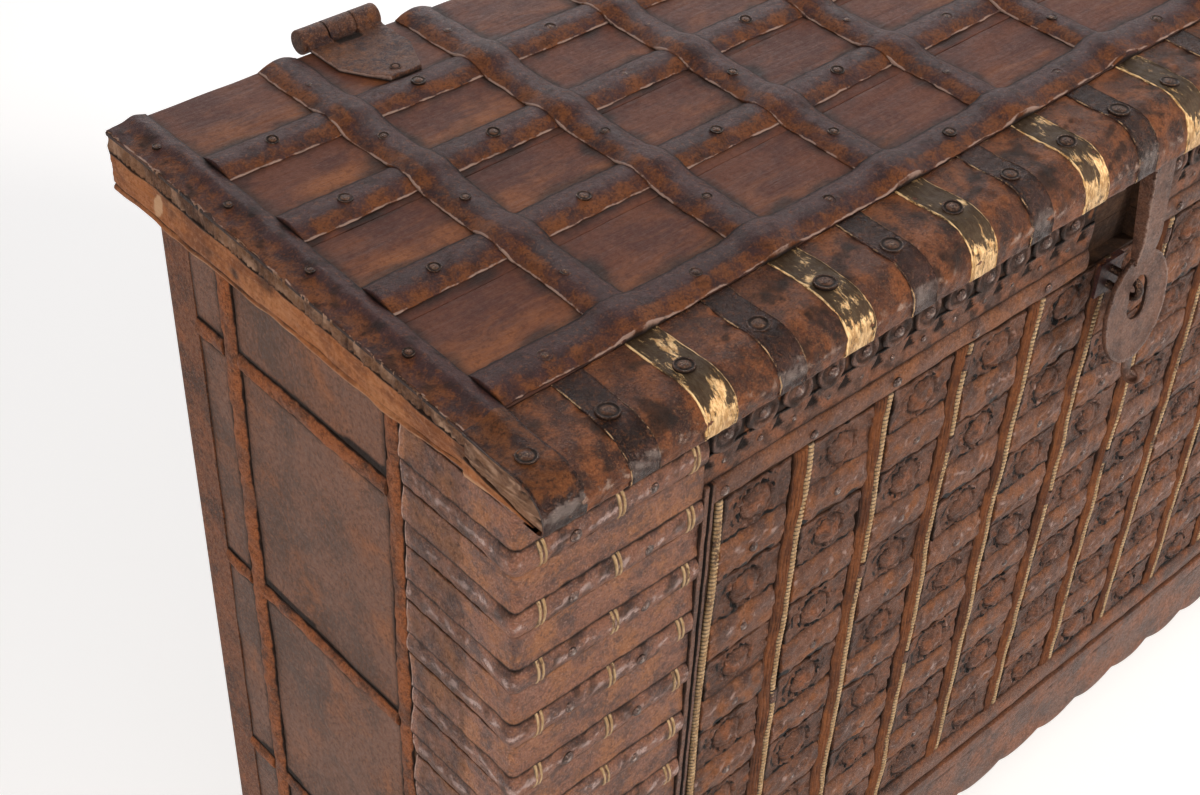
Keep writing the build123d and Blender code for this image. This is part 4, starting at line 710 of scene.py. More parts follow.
def nose_plate(low, high, seed):
    """A sheet beaten over the nose between two straps, creased along the crest of the roll."""
    middle, half = halved(low, high)

    def height(u, v):
        t = (u - middle) / half
        wander = 1.5 * MM * uneven(u, 0, 25, seed + 8)
        crease = 0.7 * MM * np.exp(-((v - CREST - wander) / (2.5 * MM)) ** 2)
        dents = 0.5 * MM * uneven(u, v, 20, seed) + 0.3 * MM * uneven(u, v, 8, seed + 1)
        return NOSE_PLATE_RISE + 0.8 * MM * (1 - t ** 2) + crease + dents * smooth(1, 0.8, np.abs(t))

    def rust(u, v):
        return 0.35 + 0.4 * uneven(u, v, 34, seed + 3) + 0.3 * smooth(0.7, 1.0, np.abs(u - middle) / half)

    # Lighter along the crest of the roll: a painted highlight line
    def worn(u, v):
        return np.exp(-((v - CREST) / (7 * MM)) ** 2) * (0.35 + 0.5 * uneven(u, v, 11, seed + 4))

    def soot(u, v):
        cloudy = uneven(u, v, 40, seed + 6) + 0.6 * uneven(u, v, 15, seed + 7)
        on_roof = smooth(4 * MM, 26 * MM, v) * smooth(CREST + 8 * MM, CREST - 10 * MM, v)
        return 0.6 * smooth(-0.1, 1.1, cloudy) * on_roof

    def dust(u, v):
        return 0.3 * smooth(0.4, 1.2, uneven(u, v, 16, 99)) + 0.7 * bump(v, 1 * MM, 1.4 * MM)

    return relief(over_nose, stations(low, high, 2.6, 0.6), stations(0, NOSE_LENGTH, 2.4, 0.6), height,
                  0.6, 0.1, rust=rust, worn=worn, soot=soot, edge=dust)


seams = [-HALF_LID] + sorted(CROSS_XS + BAY_XS) + [HALF_LID]
plates = [nose_plate(low + 0.3 * MM, high - 0.3 * MM, 100 + 10 * k)
          for k, (low, high) in enumerate(zip(seams[:-1], seams[1:]))]
piece("nose_sheet_plates", plates, nose_iron, "lid", "sheet_iron", "nose_plates")


def nose_strap(x, width, seed, patina, corner=0):
    """A strap bent over the nose, with a raised bead along both edges. Those at the lid's ends, -1 and 1,
    grow out of the end straps."""
    half = width / 2
    reach = HALF_LID - 0.2 * MM

    def place(u, v, h):
        return over_nose(np.clip(u + 1.0 * MM * uneven(v, 0, 60, seed), -reach, reach), v, h)

    def height(u, v):
        t = np.abs(u - x) / half
        crown = NOSE_STRAP_RISE - 0.9 * MM + 0.35 * MM * (1 - t ** 2)
        dents = 0.3 * MM * uneven(u, v, 12, seed + 1)
        if not corner:
            return crown + 0.55 * MM * bump(t, 0.93, 0.07) + 0.3 * MM * bump(t, 0.78, 0.06) + dents
        joined = STEP_UP + end_crown(NOSE_STOP - v, corner * (u - x) / half, 75 + corner)
        return joined + (crown + dents - joined) * smooth(0, 50 * MM, v)

    def edge(u, v):
        t = np.abs(u - x) / half
        lines = np.maximum(bump(t, 0.95, 0.07), 0.7 * bump(t, 0.8, 0.05))
        return lines * (0.85 + 0.25 * uneven(u, v, 20, seed + 2)) * (0.25 if corner else 1)

    # Lighter along the crest of the roll: rubbing and a painted highlight
    def worn(u, v):
        return 0.8 * np.exp(-((v - CREST) / (12 * MM)) ** 2) * (0.85 + 0.2 * uneven(u, v, 14, seed + 3))

    def dark(u, v):
        above = smooth(CREST - 2 * MM, CREST - 22 * MM, v)
        clear_of_edge = smooth(1.0, 0.85, np.abs(u - x) / half)
        return patina * above * clear_of_edge * (0.95 + 0.5 * uneven(u, v, 26, seed + 4))

    beaded = np.array([0.72, 0.78, 0.83, 0.88, 0.93, 0.97, 1, 1])
    u = np.concatenate([-beaded[::-1], np.linspace(-0.6, 0.6, 9), beaded]) * half + x
    return relief(place, u, stations(0, NOSE_LENGTH - 3 * MM, 2.2, 0.5), height, 0.4, 0.2,
                  rust=dark, edge=edge, worn=worn)


brass_straps = [nose_strap(x, BRASS_WIDTH, 200 + 7 * k, 1.0) for k, x in enumerate(CROSS_XS)]
piece("nose_brass_straps", brass_straps, strap_brass, "lid", "brass", "nose_straps_brass")
iron_straps = [nose_strap(x, IRON_WIDTH, 270 + 7 * k, 0.15) for k, x in enumerate(BAY_XS)]
iron_straps += [nose_strap(side * EDGE_STRAP_X, EDGE_STRAP_WIDTH, 360 + side, 0.9, side) for side in SIDES]
piece("nose_iron_straps", iron_straps, black_iron, "lid", "forged_iron", "nose_straps_iron")

# ------------------------------------------------------------------ lid nails
STRAP_XS = CROSS_XS + [-EDGE_STRAP_X, EDGE_STRAP_X]
STRAP_NAIL_Z = LID_TOP + STRAP_RISE - 0.5 * MM
END_NAIL_Z = LID_TOP + STRAP_RISE - 1.9 * MM
rows = ROW_YS + [LID_BACK]
strap_heads = []
for k, x in enumerate(STRAP_XS):
    z = END_NAIL_Z if abs(x) == EDGE_STRAP_X else STRAP_NAIL_Z
    for j, (low, high) in enumerate(zip(rows[:-1], rows[1:])):
        strap_heads.append(cupped_head((x, (low + high) / 2, z), 5.0 * MM, 300 + 10 * k + j))
for k, x in enumerate(BAY_XS):
    for j, y in enumerate(ROW_YS):
        strap_heads.append(cupped_head((x, y, STRAP_NAIL_Z), 6.2 * MM, 450 + 10 * k + j, (0, -0.06, 1)))
piece("strap_nail_heads", strap_heads, nail_iron, "lid", "nail_iron", "strap_nails")

NOSE_NAIL_Y = (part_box("nose_nails")[0].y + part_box("nose_nails")[1].y) / 2
NOSE_NAIL_Z = NOSE_WOOD_TOP + NOSE_STRAP_RISE - 0.4 * MM
nose_xs = CROSS_XS + BAY_XS + [-EDGE_STRAP_X, EDGE_STRAP_X]
nose_heads = [cupped_head((x, NOSE_NAIL_Y, NOSE_NAIL_Z), 9.6 * MM, 600 + k) for k, x in enumerate(nose_xs)]
piece("nose_nail_heads", nose_heads, nail_iron, "lid", "nail_iron", "nose_nails")


# ------------------------------------------------------------------ lid boards
BOARD_STEP = 14


def board(low, high, axis, seed, wear, waver=0.5):
    """A sawn board along one axis, its arrises worn round and its faces not quite flat. Wear and waver are
    in millimetres."""
    low, high = np.array(low), np.array(high)
    side = [a for a in range(3) if a != axis]
    size = (high - low)[side]
    along = stations(low[axis], high[axis], BOARD_STEP, wear)[1:-1]
    wear, waver = wear * MM, waver * MM
    corners = np.array([(1, 0), (1, 1), (0, 1), (0, 0)]) * size
    loop = []
    for k, corner in enumerate(corners):
        start, length = corners[k - 1], size[k % 2]
        for t in np.linspace(wear, length - wear, max(2, int(length / (BOARD_STEP * MM)) + 1)):
            loop.append((*(start + np.sign(corner - start) * t), 0.0))
        loop.append((*(corner + np.sign(size / 2 - corner) * 0.29 * wear), 1.0))
    loop = np.array(loop)
    arris = loop[:, 2]
    ends = np.zeros(len(along))
    ends[[0, -1]] = 1.0
    ends[[1, -2]] = 0.3
    offset = loop[:, :2] - size / 2
    pinch = np.sign(offset) * wear * (np.abs(offset) > size / 2 - 1.01 * wear)
    rings = np.zeros((len(along), len(loop), 3))
    rings[..., side] = low[side] + loop[:, :2] - ends[:, None, None] * pinch
    rings[..., axis] = along[:, None]
    faces = waver * (0.5 + 0.5 * ripple(rings, 60 * MM, seed))
    pull = faces + arris * wear * 0.5 * (0.5 + 0.5 * ripple(rings, 25 * MM, seed + 1))
    offset = rings - (low + high) / 2
    outer = np.abs(offset) > (high - low) / 2 - 1.01 * wear
    outer[..., axis] = False
    pulled = rings - np.sign(offset) * pull[..., None] * outer
    return loft(pulled, edge=0.8 * np.maximum(arris, ends[:, None]))


def boards_of(node):
    """Lowest and highest corner of each separate solid of a node, in order."""
    mesh = frame["nodes"][node].data
    points = np.array([vertex.co for vertex in mesh.vertices])
    parent = list(range(len(points)))

    def root(k):
        while parent[k] != k:
            parent[k] = parent[parent[k]]
            k = parent[k]
        return k

    same = {}
    for k, point in enumerate(np.round(points, 5)):
        first = same.setdefault(tuple(point), k)
        parent[root(k)] = root(first)
    for edge in mesh.edges:
        parent[root(edge.vertices[0])] = root(edge.vertices[1])
    groups = {}
    for k in range(len(points)):
        groups.setdefault(root(k), []).append(k)
    boxes = [(points[g].min(0), points[g].max(0)) for g in groups.values()]
    return sorted(boxes, key=lambda pair: tuple(pair[0].round(3)))


def plank_face(low, high, seed):
    """The handled top of a plank: grime and painted shade beside the straps, and painted warm light
    towards each cell's front and the lid's left end.
    """
    row_ys = np.array(ROW_YS)

    def height(u, v):
        return -0.4 * MM + 0.35 * MM * uneven(u * 0.4, v, 24, seed)

    # Darker beside the straps: grime and painted shade
    def soot(u, v):
        from_strap = np.abs(u[..., None] - np.array(STRAP_XS)).min(-1)
        from_row = np.abs(v[..., None] - row_ys).min(-1)
        clear = np.minimum(from_strap, from_row) - STRAP_WIDTH / 2 + 5 * MM * uneven(u, v, 40, seed + 1)
        return 0.68 * smooth(15 * MM, -3 * MM, clear)

    # Warmer towards each cell's front and the lid's left end: painted warm light
    def rust(u, v):
        ahead = v - np.concatenate([[-1.0], row_ys])[np.searchsorted(row_ys, v)]
        warm = 0.35 + 0.65 * smooth(-200 * MM, -650 * MM, u)
        return warm * smooth(75 * MM, 22 * MM, ahead) * (0.7 + 0.3 * uneven(u, v, 70, seed + 2))

    return relief(on_top, stations(low[0] + 1 * MM, high[0] - 1 * MM, 5, 0.6),
                  stations(low[1], high[1], 4.5, 0.5), height, 0.5, -4, soot=soot, rust=rust)


PLANK_INSET = np.array((5 * MM, 0, 0))
PLANK_FACE_DEPTH = np.array((0, 0, 1.2 * MM))
planks = []
for k, (low, high) in enumerate(boards_of("lid_boards")):
    planks.append(board(low + PLANK_INSET, high - PLANK_INSET - PLANK_FACE_DEPTH, 0, 700 + k, 0.8, 0.3))
    planks.append(plank_face(low, high, 705 + 5 * k))
piece("lid_top_planks", planks, lid_wood, "lid", "lid_wood", "lid_boards")


def plank_ends(side):
    """Frayed end grain of the top planks: torn fibres that stand side by side."""
    def height(u, v):
        fibre = uneven(u, v * 0.15, 4.5, 760 + side) + 0.7 * uneven(u, v * 0.2, 2.4, 762 + side)
        return 1.2 * MM + 0.8 * MM * fibre + 0.6 * MM * uneven(u, v, 30, 764 + side)

    def soot(u, v):
        between = 0.35 * smooth(-0.2, -1.0, uneven(u, v * 0.15, 4.5, 760 + side))
        return np.maximum(between, 0.9 * bump(v, BOARD_LOW, 1.8 * MM))

    def edge(u, v):
        return 0.25 + 0.4 * uneven(u, v, 34, 768 + side) + 0.5 * smooth(4 * MM, 0, LID_TOP - v)

    return relief(on_end(side), stations(NOSE_BACK, LID_BACK, 1.3, 0.5), stations(BOARD_LOW, LID_TOP, 2, 0.4),
                  height, 0.4, -2, soot=soot, edge=edge)


FASCIA_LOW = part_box("end_fascias")[0].z
FASCIA_FALL = BOARD_LOW - FASCIA_LOW
TONGUE_TOP = LID_UNDER + 19 * MM
TONGUE_FALL = 16 * MM


def tongue_top(y, tip):
    """Top of the fascia's tongue, which falls towards its tip at the nose."""
    return TONGUE_TOP - TONGUE_FALL * np.clip((NOSE_BACK - y) / (NOSE_BACK - tip), 0, 1) ** 0.8


def fascia_face(side):
    """The board over the lid's end: a wavy foot worn round, with a split along it. v goes from 0 at the
    foot to 1 at the top."""
    def place(u, v, h):
        lift = 3.5 * MM + 2.6 * MM * uneven(u, 0, 150, 770 + side) + 1.2 * MM * uneven(u, 0, 45, 772 + side)
        low = FASCIA_LOW + np.clip(lift, 0, 9 * MM) + 6 * MM * smooth(NOSE_BACK + 110 * MM, NOSE_BACK, u)
        return on_end(side)(u, low + v * (BOARD_LOW - low), h)

    def split(u):
        return 0.26 + 0.05 * uneven(u, 0, 130, 774 + side)

    def knot(u, v):
        return smooth(13 * MM, 3 * MM, np.hypot(u - (BACK - 150 * MM), (v - 0.5) * FASCIA_FALL * 1.3))

    def height(u, v):
        rounded = -4.5 * MM * (1 - smooth(0, 0.22, v)) ** 1.5
        line = -1.6 * MM * bump(v, split(u), 0.05) + 0.6 * MM * bump(v, split(u) - 0.12, 0.1)
        grain = 0.5 * MM * uneven(u * 0.25, v * FASCIA_FALL, 10, 776 + side)
        waves = 0.7 * MM * uneven(u, v * FASCIA_FALL, 70, 778 + side)
        return 1.6 * MM + rounded + line + grain + waves - 1.0 * MM * knot(u, v)

    def soot(u, v):
        stain = 0.55 * smooth(0.1, 1.1, uneven(u, v * FASCIA_FALL, 60, 782 + side))
        lines = np.maximum(0.9 * bump(v, split(u), 0.04), 0.9 * bump(v, 1.0, 0.05))
        return np.maximum(np.maximum(lines, 0.7 * knot(u, v)), stain)

    def edge(u, v):
        from_chip = np.hypot(u - (LID_BACK - 60 * MM) + 0.3 * FASCIA_FALL * v, (v - 0.62) * FASCIA_FALL * 0.5)
        return np.maximum(0.75 * smooth(0.24, 0.1, v), smooth(8 * MM, 5 * MM, from_chip) * (side < 0))

    def rust(u, v):
        return 0.35 * smooth(0.1, 1.0, uneven(u, v * FASCIA_FALL, 120, 780 + side))

    return relief(place, stations(NOSE_BACK, LID_BACK, 4, 0.6), stations(0.0, 1.0, 45, 20), height, 0.5, -6,
                  soot=soot, edge=edge, rust=rust)


def fascia_tongue(side):
    """The fascia's thinned end, which runs on under the nose's end to its tip."""
    tip = NOSE_WOOD + 9 * MM

    def place(u, v, h):
        low = FASCIA_LOW + 9 * MM + (LID_UNDER - FASCIA_LOW - 6 * MM) * (NOSE_BACK - u) / (NOSE_BACK - tip)
        return on_end(side)(u, low + v * (tongue_top(u, tip) - low), h)

    def height(u, v):
        rounded = 2.0 * MM * np.sqrt(np.clip(v * (1.2 - v) * 2.8, 0, 1))
        return 0.4 * MM + rounded + 0.4 * MM * uneven(u * 0.3, v * 20 * MM, 8, 790 + side)

    # Dark along the top, under the nose's end: painted shade
    return relief(place, stations(tip, NOSE_BACK + 1 * MM, 4, 0.5), stations(0.0, 1.0, 100, 30), height,
                  0.5, -7, soot=lambda u, v: 0.9 * bump(v, 0.97, 0.12),
                  edge=lambda u, v: 0.6 * smooth(0.5, 0.1, v))


for side, word, (low, high) in zip(SIDES, WORDS, boards_of("end_fascias")):
    rail = board(*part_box(f"end_rail_{word}"), 1, 720 + side, 2)
    piece(f"lid_end_rail_{word}", [rail], case_wood, "lid", "lid_wood", f"end_rail_{word}")
    inner = [low + (0, 0, 8 * MM), high.copy()]
    inner[max(side, 0)][0] -= side * 6 * MM
    faces = [board(*inner, 1, 724 + side, 2), fascia_face(side), fascia_tongue(side)]
    piece(f"lid_end_fascia_{word}", faces, rail_wood, "lid", "lid_wood", "end_fascias")
    piece(f"lid_plank_ends_{word}", [plank_ends(side)], end_wood, "lid", "lid_wood")
piece("lid_back_rail", [board(*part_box("back_rail"), 0, 724, 2.5)], case_wood, "lid", "lid_wood", "back_rail")


def nose_section():
    """(y, z) outline of the nose's wood, closed across its back."""
    s = np.concatenate([[0], NOSE_TOP_RUN + np.linspace(0, NOSE_ROLL, 12),
                        HEEL_START + np.linspace(0, NOSE_HEEL, 4)])
    line = over_nose(np.zeros_like(s), s, np.full_like(s, -0.2 * MM))[:, 1:]
    back = [(NOSE_BACK, z) for z in (LID_UNDER, (LID_UNDER + NOSE_WOOD_TOP) / 2, NOSE_WOOD_TOP)]
    return np.concatenate([line, back])


def densely(outline, step):
    """The closed outline with points about a step apart."""
    dense = []
    for start, end in zip(outline, np.roll(outline, -1, axis=0)):
        count = max(1, int(np.linalg.norm(end - start) / step))
        dense += [start + (end - start) * k / count for k in range(count)]
    return np.array(dense)


def nose_timber():
    """The nose's wood, with long splits that follow its fibres through each end."""
    section = densely(nose_section(), 3 * MM)
    core = section.mean(0)
    shares = [0.02, 0.15, 0.3, 0.45, 0.6, 0.72, 0.82, 0.9, 0.96, 0.99]
    steps = [(-1, share) for share in shares]
    steps += [(x, 1.0) for x in stations(-HALF_LID + 4.5 * MM, HALF_LID - 4.5 * MM, 60)]
    steps += [(1, share) for share in reversed(shares)]
    rings, edges, soots = [], [], []
    for side, share in steps:
        outline = core + (section - core) * share
        x, edge, soot = (np.full(len(section), value) for value in (side, 0.0, 0.0))
        if share < 1.0:
            y, z = outline.T
            fibres = ripple(np.column_stack([y * 0.25, z, y * 0]), 6 * MM, 795 + side)
            crack = smooth(0.55, 1.1, ripple(np.column_stack([y * 0.2, z, y * 0]), 13 * MM, 797 + side))
            covered = smooth(2 * MM, -2 * MM, z - tongue_top(y, NOSE_WOOD))
            depth = 1.3 * MM + 0.5 * MM * fibres + 2 * MM * crack + 0.8 * MM * share ** 8 + 3 * MM * covered
            x = side * (HALF_LID - depth)
            edge, soot = np.clip(0.35 + 0.4 * fibres, 0, 1), 0.9 * crack
        rings.append(np.column_stack([x, outline]))
        edges.append(edge)
        soots.append(soot)
    return loft(rings, edge=np.array(edges), soot=np.array(soots))


piece("lid_nose_timber", [nose_timber()], end_wood, "lid", "lid_wood", "nose_rail")

# ------------------------------------------------------------------ front panel
def embossed_square(x, z, seed):
    """A sheet with a round boss in a ring of punched beads, torn here and there along the ring."""
    random = np.random.default_rng(seed)
    cx, cz = x + random.uniform(-2, 2) * MM, z + random.uniform(-1.5, 1.5) * MM
    size = random.uniform(0.92, 1.06)
    phase, wear = random.uniform(0, 6), random.uniform(0.6, 1.35)
    half_x, half_z = SQUARE_WIDTH / 2, SQUARE_HEIGHT / 2

    def place(u, v, h):
        pull = np.maximum(smooth(0.7, 1, np.abs(u - x) / half_x), smooth(0.7, 1, np.abs(v - z) / half_z))
        pull *= 1.3 * MM * uneven(u, v, 30, seed + 1) + 0.6 * MM
        return on_front(u - np.sign(u - x) * pull, v - np.sign(v - z) * pull, h)

    def distance(u, v):
        """From the boss's centre, 1 at the ring of beads."""
        return np.hypot(u - cx, v - cz) / (20 * MM * size) * (1 + 0.06 * uneven(u, v, 30, seed + 2))

    def angle(u, v):
        return np.arctan2(v - cz, u - cx)

    # Weight towards the upper left, where the ring's painted shade and the tears are heavier
    def upper_left(u, v):
        return 0.5 + 0.5 * np.cos(angle(u, v) - 2.5)

    def height(u, v):
        r = distance(u, v)
        beads = 2.2 * MM * bump(r, 1.07, 0.17) * (0.45 + 0.55 * np.cos(16 * angle(u, v) + phase))
        lumps = 1 + 0.35 * uneven(u, v, 11, seed + 8)
        dome = 4.6 * MM * lumps * np.sqrt(np.clip(1 - (r / 0.8) ** 2, 0, 1)) - 1.3 * MM * bump(r, 0.88, 0.12)
        curl = 1.0 * MM * smooth(0.82, 1, np.maximum(np.abs(u - x) / half_x, np.abs(v - z) / half_z))
        return 1.9 * MM + dome + beads + curl + 0.9 * MM * uneven(u, v, 14, seed + 3)

    # Dark in the grooves inside and outside the ring of beads, heavier on the upper left, and along the lower
    # and left edges: painted shade
    def soot(u, v):
        r = distance(u, v)
        ring = bump(r, 0.9, 0.14) * (0.5 + 0.5 * upper_left(u, v)) + 0.45 * bump(r, 1.27, 0.14)
        low_edges = smooth(0.82, 0.98, np.maximum((x - u) / half_x, (z - v) / half_z))
        return np.maximum(ring, 0.6 * low_edges)

    def tear(u, v):
        r = distance(u, v)
        broken = smooth(-0.5, 0.6, uneven(u, v, 12, seed + 5))
        low = smooth(0.75, 1, (z - v) / half_z) * smooth(-0.2, 0.5, uneven(u, 0, 22, seed + 9))
        around = np.maximum(bump(r, 1.0, 0.24), 0.9 * bump(r, 1.4, 0.14)) * broken
        return wear * np.maximum(1.15 * around * (0.4 + 0.75 * upper_left(u, v)), low)

    def rust(u, v):
        return 0.35 * smooth(0.9, 0.4, distance(u, v)) + 0.4 * uneven(u, v, 22, seed + 6)

    # Lighter on the boss and its beads in broken glints: painted highlights with some rubbing
    def worn(u, v):
        r = distance(u, v)
        glint = smooth(-0.2, 0.9, uneven(u, v, 8, seed + 7))
        return (0.7 * smooth(0.6, 0, r) + 0.8 * bump(r, 1.07, 0.14)) * glint

    return relief(place, stations(x - half_x, x + half_x, 2.1, 1), stations(z - half_z, z + half_z, 2.0, 1),
                  height, soot=soot, tear=tear, rust=rust, worn=worn)


def strip_drift(z, strip):
    """How far a bead strip and the batten beside it wander from the plumb line."""
    return 2.6 * MM * uneven(z, 0, 220, 6000 + strip) + 1.1 * MM * uneven(z, 0, 80, 6050 + strip)


def bead_lap(x, z, seed):
    """The tongue of a square that is folded over the bead strip on its left."""
    half_x, half_z = BEAD_WIDTH / 2 + 1.4 * MM, 9 * MM

    def height(u, v):
        t = (u - x) / half_x
        arch = np.sqrt(np.clip(1 - (t * 0.96) ** 2, 0, 1))
        return (BEAD_RISE + 1.2 * MM) * arch + 0.3 * MM * uneven(u, v, 12, seed)

    return relief(on_front, stations(x - half_x, x + half_x, 1.2, 0.5),
                  stations(z - half_z, z + half_z, 2.6, 0.6), height, 0.6, worn=0.15,
                  tear=lambda u, v: 0.6 * bump(np.abs(v - z) / half_z, 0.95, 0.15))


LAP_SHARE = 0.12
LAP_DROP = 8 * MM
squares = []
for r, z in enumerate(SQUARE_ZS):
    for c, x in enumerate(COLUMN_XS):
        squares.append(embossed_square(x, z, 1000 + 20 * (r * COLUMNS + c)))
    for c, x in enumerate(BEAD_XS):
        seed = 3000 + r * 20 + c
        if np.random.default_rng(seed).uniform(0, 1) < LAP_SHARE:
            squares.append(bead_lap(x + strip_drift(z, c), z + LAP_DROP, seed))
piece("embossed_iron_squares", squares, panel_iron, "case", "sheet_iron", "embossed_squares")

BAND_HEIGHT = ROW_PITCH - SQUARE_HEIGHT - 2 * SEAM
BAND_ZS = [z - ROW_PITCH / 2 for z in SQUARE_ZS[:-1]]


def raised_band(x, z, seed):
    """A pillowed band between two rows of squares; on many the lower edge is torn and stands off."""
    torn = np.random.default_rng(seed).uniform(0, 1) < 0.5
    half_x, half_z = SQUARE_WIDTH / 2, BAND_HEIGHT / 2

    def place(u, v, h):
        tear = (4 * MM if torn else 1.2 * MM) * smooth(-0.4, 0.8, uneven(u, 0, 26, seed + 1))
        return on_front(u, v + tear * smooth(0.2, 1, (z - v) / half_z), h)

    def height(u, v):
        crown = 5.6 * MM * np.clip(1 - np.abs((v - z) / half_z) ** 2.6, 0, 1) ** 0.6
        dip = 1 - 0.25 * smooth(0.72, 1, np.abs(u - x) / half_x)
        return 0.8 * MM + crown * dip + 0.9 * MM * uneven(u, v, 15, seed + 2)

    # Lighter along the upper crown: painted highlight with some rubbing
    def worn(u, v):
        return 0.8 * bump((v - z) / half_z, 0.3, 0.5) * smooth(0, 0.9, uneven(u, v, 11, seed + 4))

    # Darker along the lower edge and the top: painted shade
    def soot(u, v):
        t = (v - z) / half_z
        return np.maximum(0.75 * smooth(-0.72, -0.95, t), 0.35 * smooth(0.8, 0.98, t))

    def ragged(u, v):
        along = smooth(-0.3, 0.7, uneven(u, v * 0.3, 24, seed + 5))
        return (1.25 if torn else 0.6) * smooth(-0.4, -0.75, (v - z) / half_z) * along

    return relief(place, stations(x - half_x, x + half_x, 3, 1), stations(z - half_z, z + half_z, 2.2, 0.8),
                  height, 0.8, rust=blotched(0.3, 0.35, 30, seed + 3), worn=worn, soot=soot, tear=ragged)


raised = [raised_band(x, z, 5000 + 10 * (r * COLUMNS + c)) for r, z in enumerate(BAND_ZS)
          for c, x in enumerate(COLUMN_XS)]
piece("raised_cross_bands", raised, raised_iron, "case", "sheet_iron", "cross_bands")


def bead_strip(strip):
    """Half-round brass notched across into short beads."""
    x, half = BEAD_XS[strip], BEAD_WIDTH / 2

    def place(u, v, h):
        return on_front(u + strip_drift(v, strip), v, h)

    def bead(v):
        return np.abs(np.sin(math.pi * v / BEAD_PITCH))

    def height(u, v):
        arch = np.sqrt(np.clip(1 - ((u - x) / half) ** 2 * 0.92, 0, 1))
        return (BEAD_RISE + 0.8 * MM) * arch * (0.45 + 0.55 * bead(v) ** 0.7)

    return relief(place, np.concatenate([[-1, -1], np.linspace(-0.96, 0.96, 7), [1, 1]]) * half + x,
                  stations(PANEL_LOW, PANEL_TOP, BEAD_PITCH / 6 / MM, 0.4), height, 0.3,
                  soot=lambda u, v: (1 - bead(v)) ** 1.2,
                  rust=lambda u, v: 0.5 * smooth(-0.2, 0.9, uneven(v, 0, 90, 6080 + strip)))


bead_strips = [bead_strip(k) for k in range(len(BEAD_XS))]
piece("beaded_brass_strips", bead_strips, bead_brass, "case", "brass", "bead_strips")


def batten(strip):
    """A slip of wood with four reeds along it, left of a bead strip."""
    half, seed = BATTEN_WIDTH / 2, 6100 + 7 * strip
    x = BEAD_XS[strip] - (BEAD_WIDTH + BATTEN_SPACE + SEAM) / 2

    def place(u, v, h):
        return on_front(u + strip_drift(v, strip), v, h)

    def height(u, v):
        t = (u - x) / half
        reeds = 0.9 * MM * np.cos(t * math.pi * 4 + 0.8 * uneven(v, 0, 60, seed + 1))
        crown = (BATTEN_RISE - 0.6 * MM) * (1 - 0.4 * t ** 2)
        return crown + reeds + 0.6 * MM * uneven(u, v, 24, seed + 2)

    def rust(u, v):
        return 0.5 * smooth(-0.2, 0.9, uneven(u, v, 40, seed + 3))

    # Darker in the grooves between the reeds and along both edges: painted shade broken by noise
    def soot(u, v):
        t = (u - x) / half
        grooves = smooth(-0.3, -1, np.cos(t * math.pi * 4)) * smooth(-0.6, 0.6, uneven(u, v, 25, seed + 4))
        return np.maximum(0.65 * grooves, 0.6 * smooth(0.85, 1, np.abs(t)))

    return relief(place, stations(x - half, x + half, 0.9, 0.6), stations(PANEL_LOW, PANEL_TOP, 5, 0.6),
                  height, 0.7, rust=rust, soot=soot)


battens = [batten(k) for k in range(1, len(BEAD_XS))]
piece("reeded_battens", battens, batten_wood, "case", "batten_wood", "battens")


def front_round(x0, x1, low, high, rise, seed):
    """A half-round moulding along the front."""
    low, high = low + SEAM, high - SEAM
    middle, half = halved(low, high)

    def place(u, v, h):
        return on_front(u, v + 0.8 * MM * uneven(u, 0, 90, seed), h)

    def height(u, v):
        arch = np.clip(1 - ((v - middle) / half) ** 2, 0, 1) ** 0.5
        return 0.8 * MM + (rise - 0.8 * MM) * arch + 0.4 * MM * uneven(u, v, 20, seed + 1)

    # Lighter along the upper crown: painted highlight with some rubbing
    def worn(u, v):
        return 0.5 * bump((v - middle) / half, 0.2, 0.5) * smooth(0, 0.9, uneven(u, v, 14, seed + 3))

    # Darker along the foot and the top: painted shade
    def soot(u, v):
        t = (v - middle) / half
        return np.maximum(0.85 * smooth(-0.78, -0.97, t), 0.5 * smooth(0.85, 1, t))

    return relief(place, stations(x0, x1, 5, 0.8), stations(low, high, 2.4, 0.6), height, 0.6,
                  rust=blotched(0.3, 0.35, 50, seed + 2), worn=worn, soot=soot)


EDGE_BAR_WIDTH = 12 * MM
border_end = HALF_PANEL - EDGE_BAR_WIDTH - SEAM
borders = [front_round(*sorted((side * border_end, side * BREAK_HALF)), PANEL_TOP, BORDER_TOP, 6 * MM, seed)
           for side, seed in ((1, 6300), (-1, 6310))]
piece("border_half_round", borders, raised_iron, "case", "sheet_iron", "border_strap")
apron_round = front_round(-HALF_PANEL, HALF_PANEL, APRON_TOP, PANEL_LOW, 8 * MM, 6320)
piece("apron_half_round", [apron_round], panel_iron, "case", "sheet_iron", "apron_moulding")


def edge_bar(side):
    """Two brown rails with a deep gap between them, painted near-black there as painted shade."""
    x0, x1 = sorted((side * (HALF_PANEL - EDGE_BAR_WIDTH), side * HALF_PANEL))

    def from_gap(u):
        return (u - (x0 + x1) / 2) / (EDGE_BAR_WIDTH / 2) + 0.15 * side

    def height(u, v):
        return 6.4 * MM - 4.6 * MM * bump(from_gap(u), 0, 0.34) + 0.3 * MM * uneven(u, v, 30, 6400 + side)

    def soot(u, v):
        gap = smooth(0.4, 0.24, np.abs(from_gap(u)))
        return np.maximum(gap, 0.6 * smooth(0.8, 1, np.abs(from_gap(u) - 0.15 * side)))

    return relief(on_front, stations(x0, x1, 0.8, 0.5), stations(PANEL_LOW, BORDER_TOP, 8, 0.6), height, 0.6,
                  soot=soot)


piece("dark_edge_bars", [edge_bar(side) for side in SIDES], panel_iron, "case", "sheet_iron", "edge_bars")

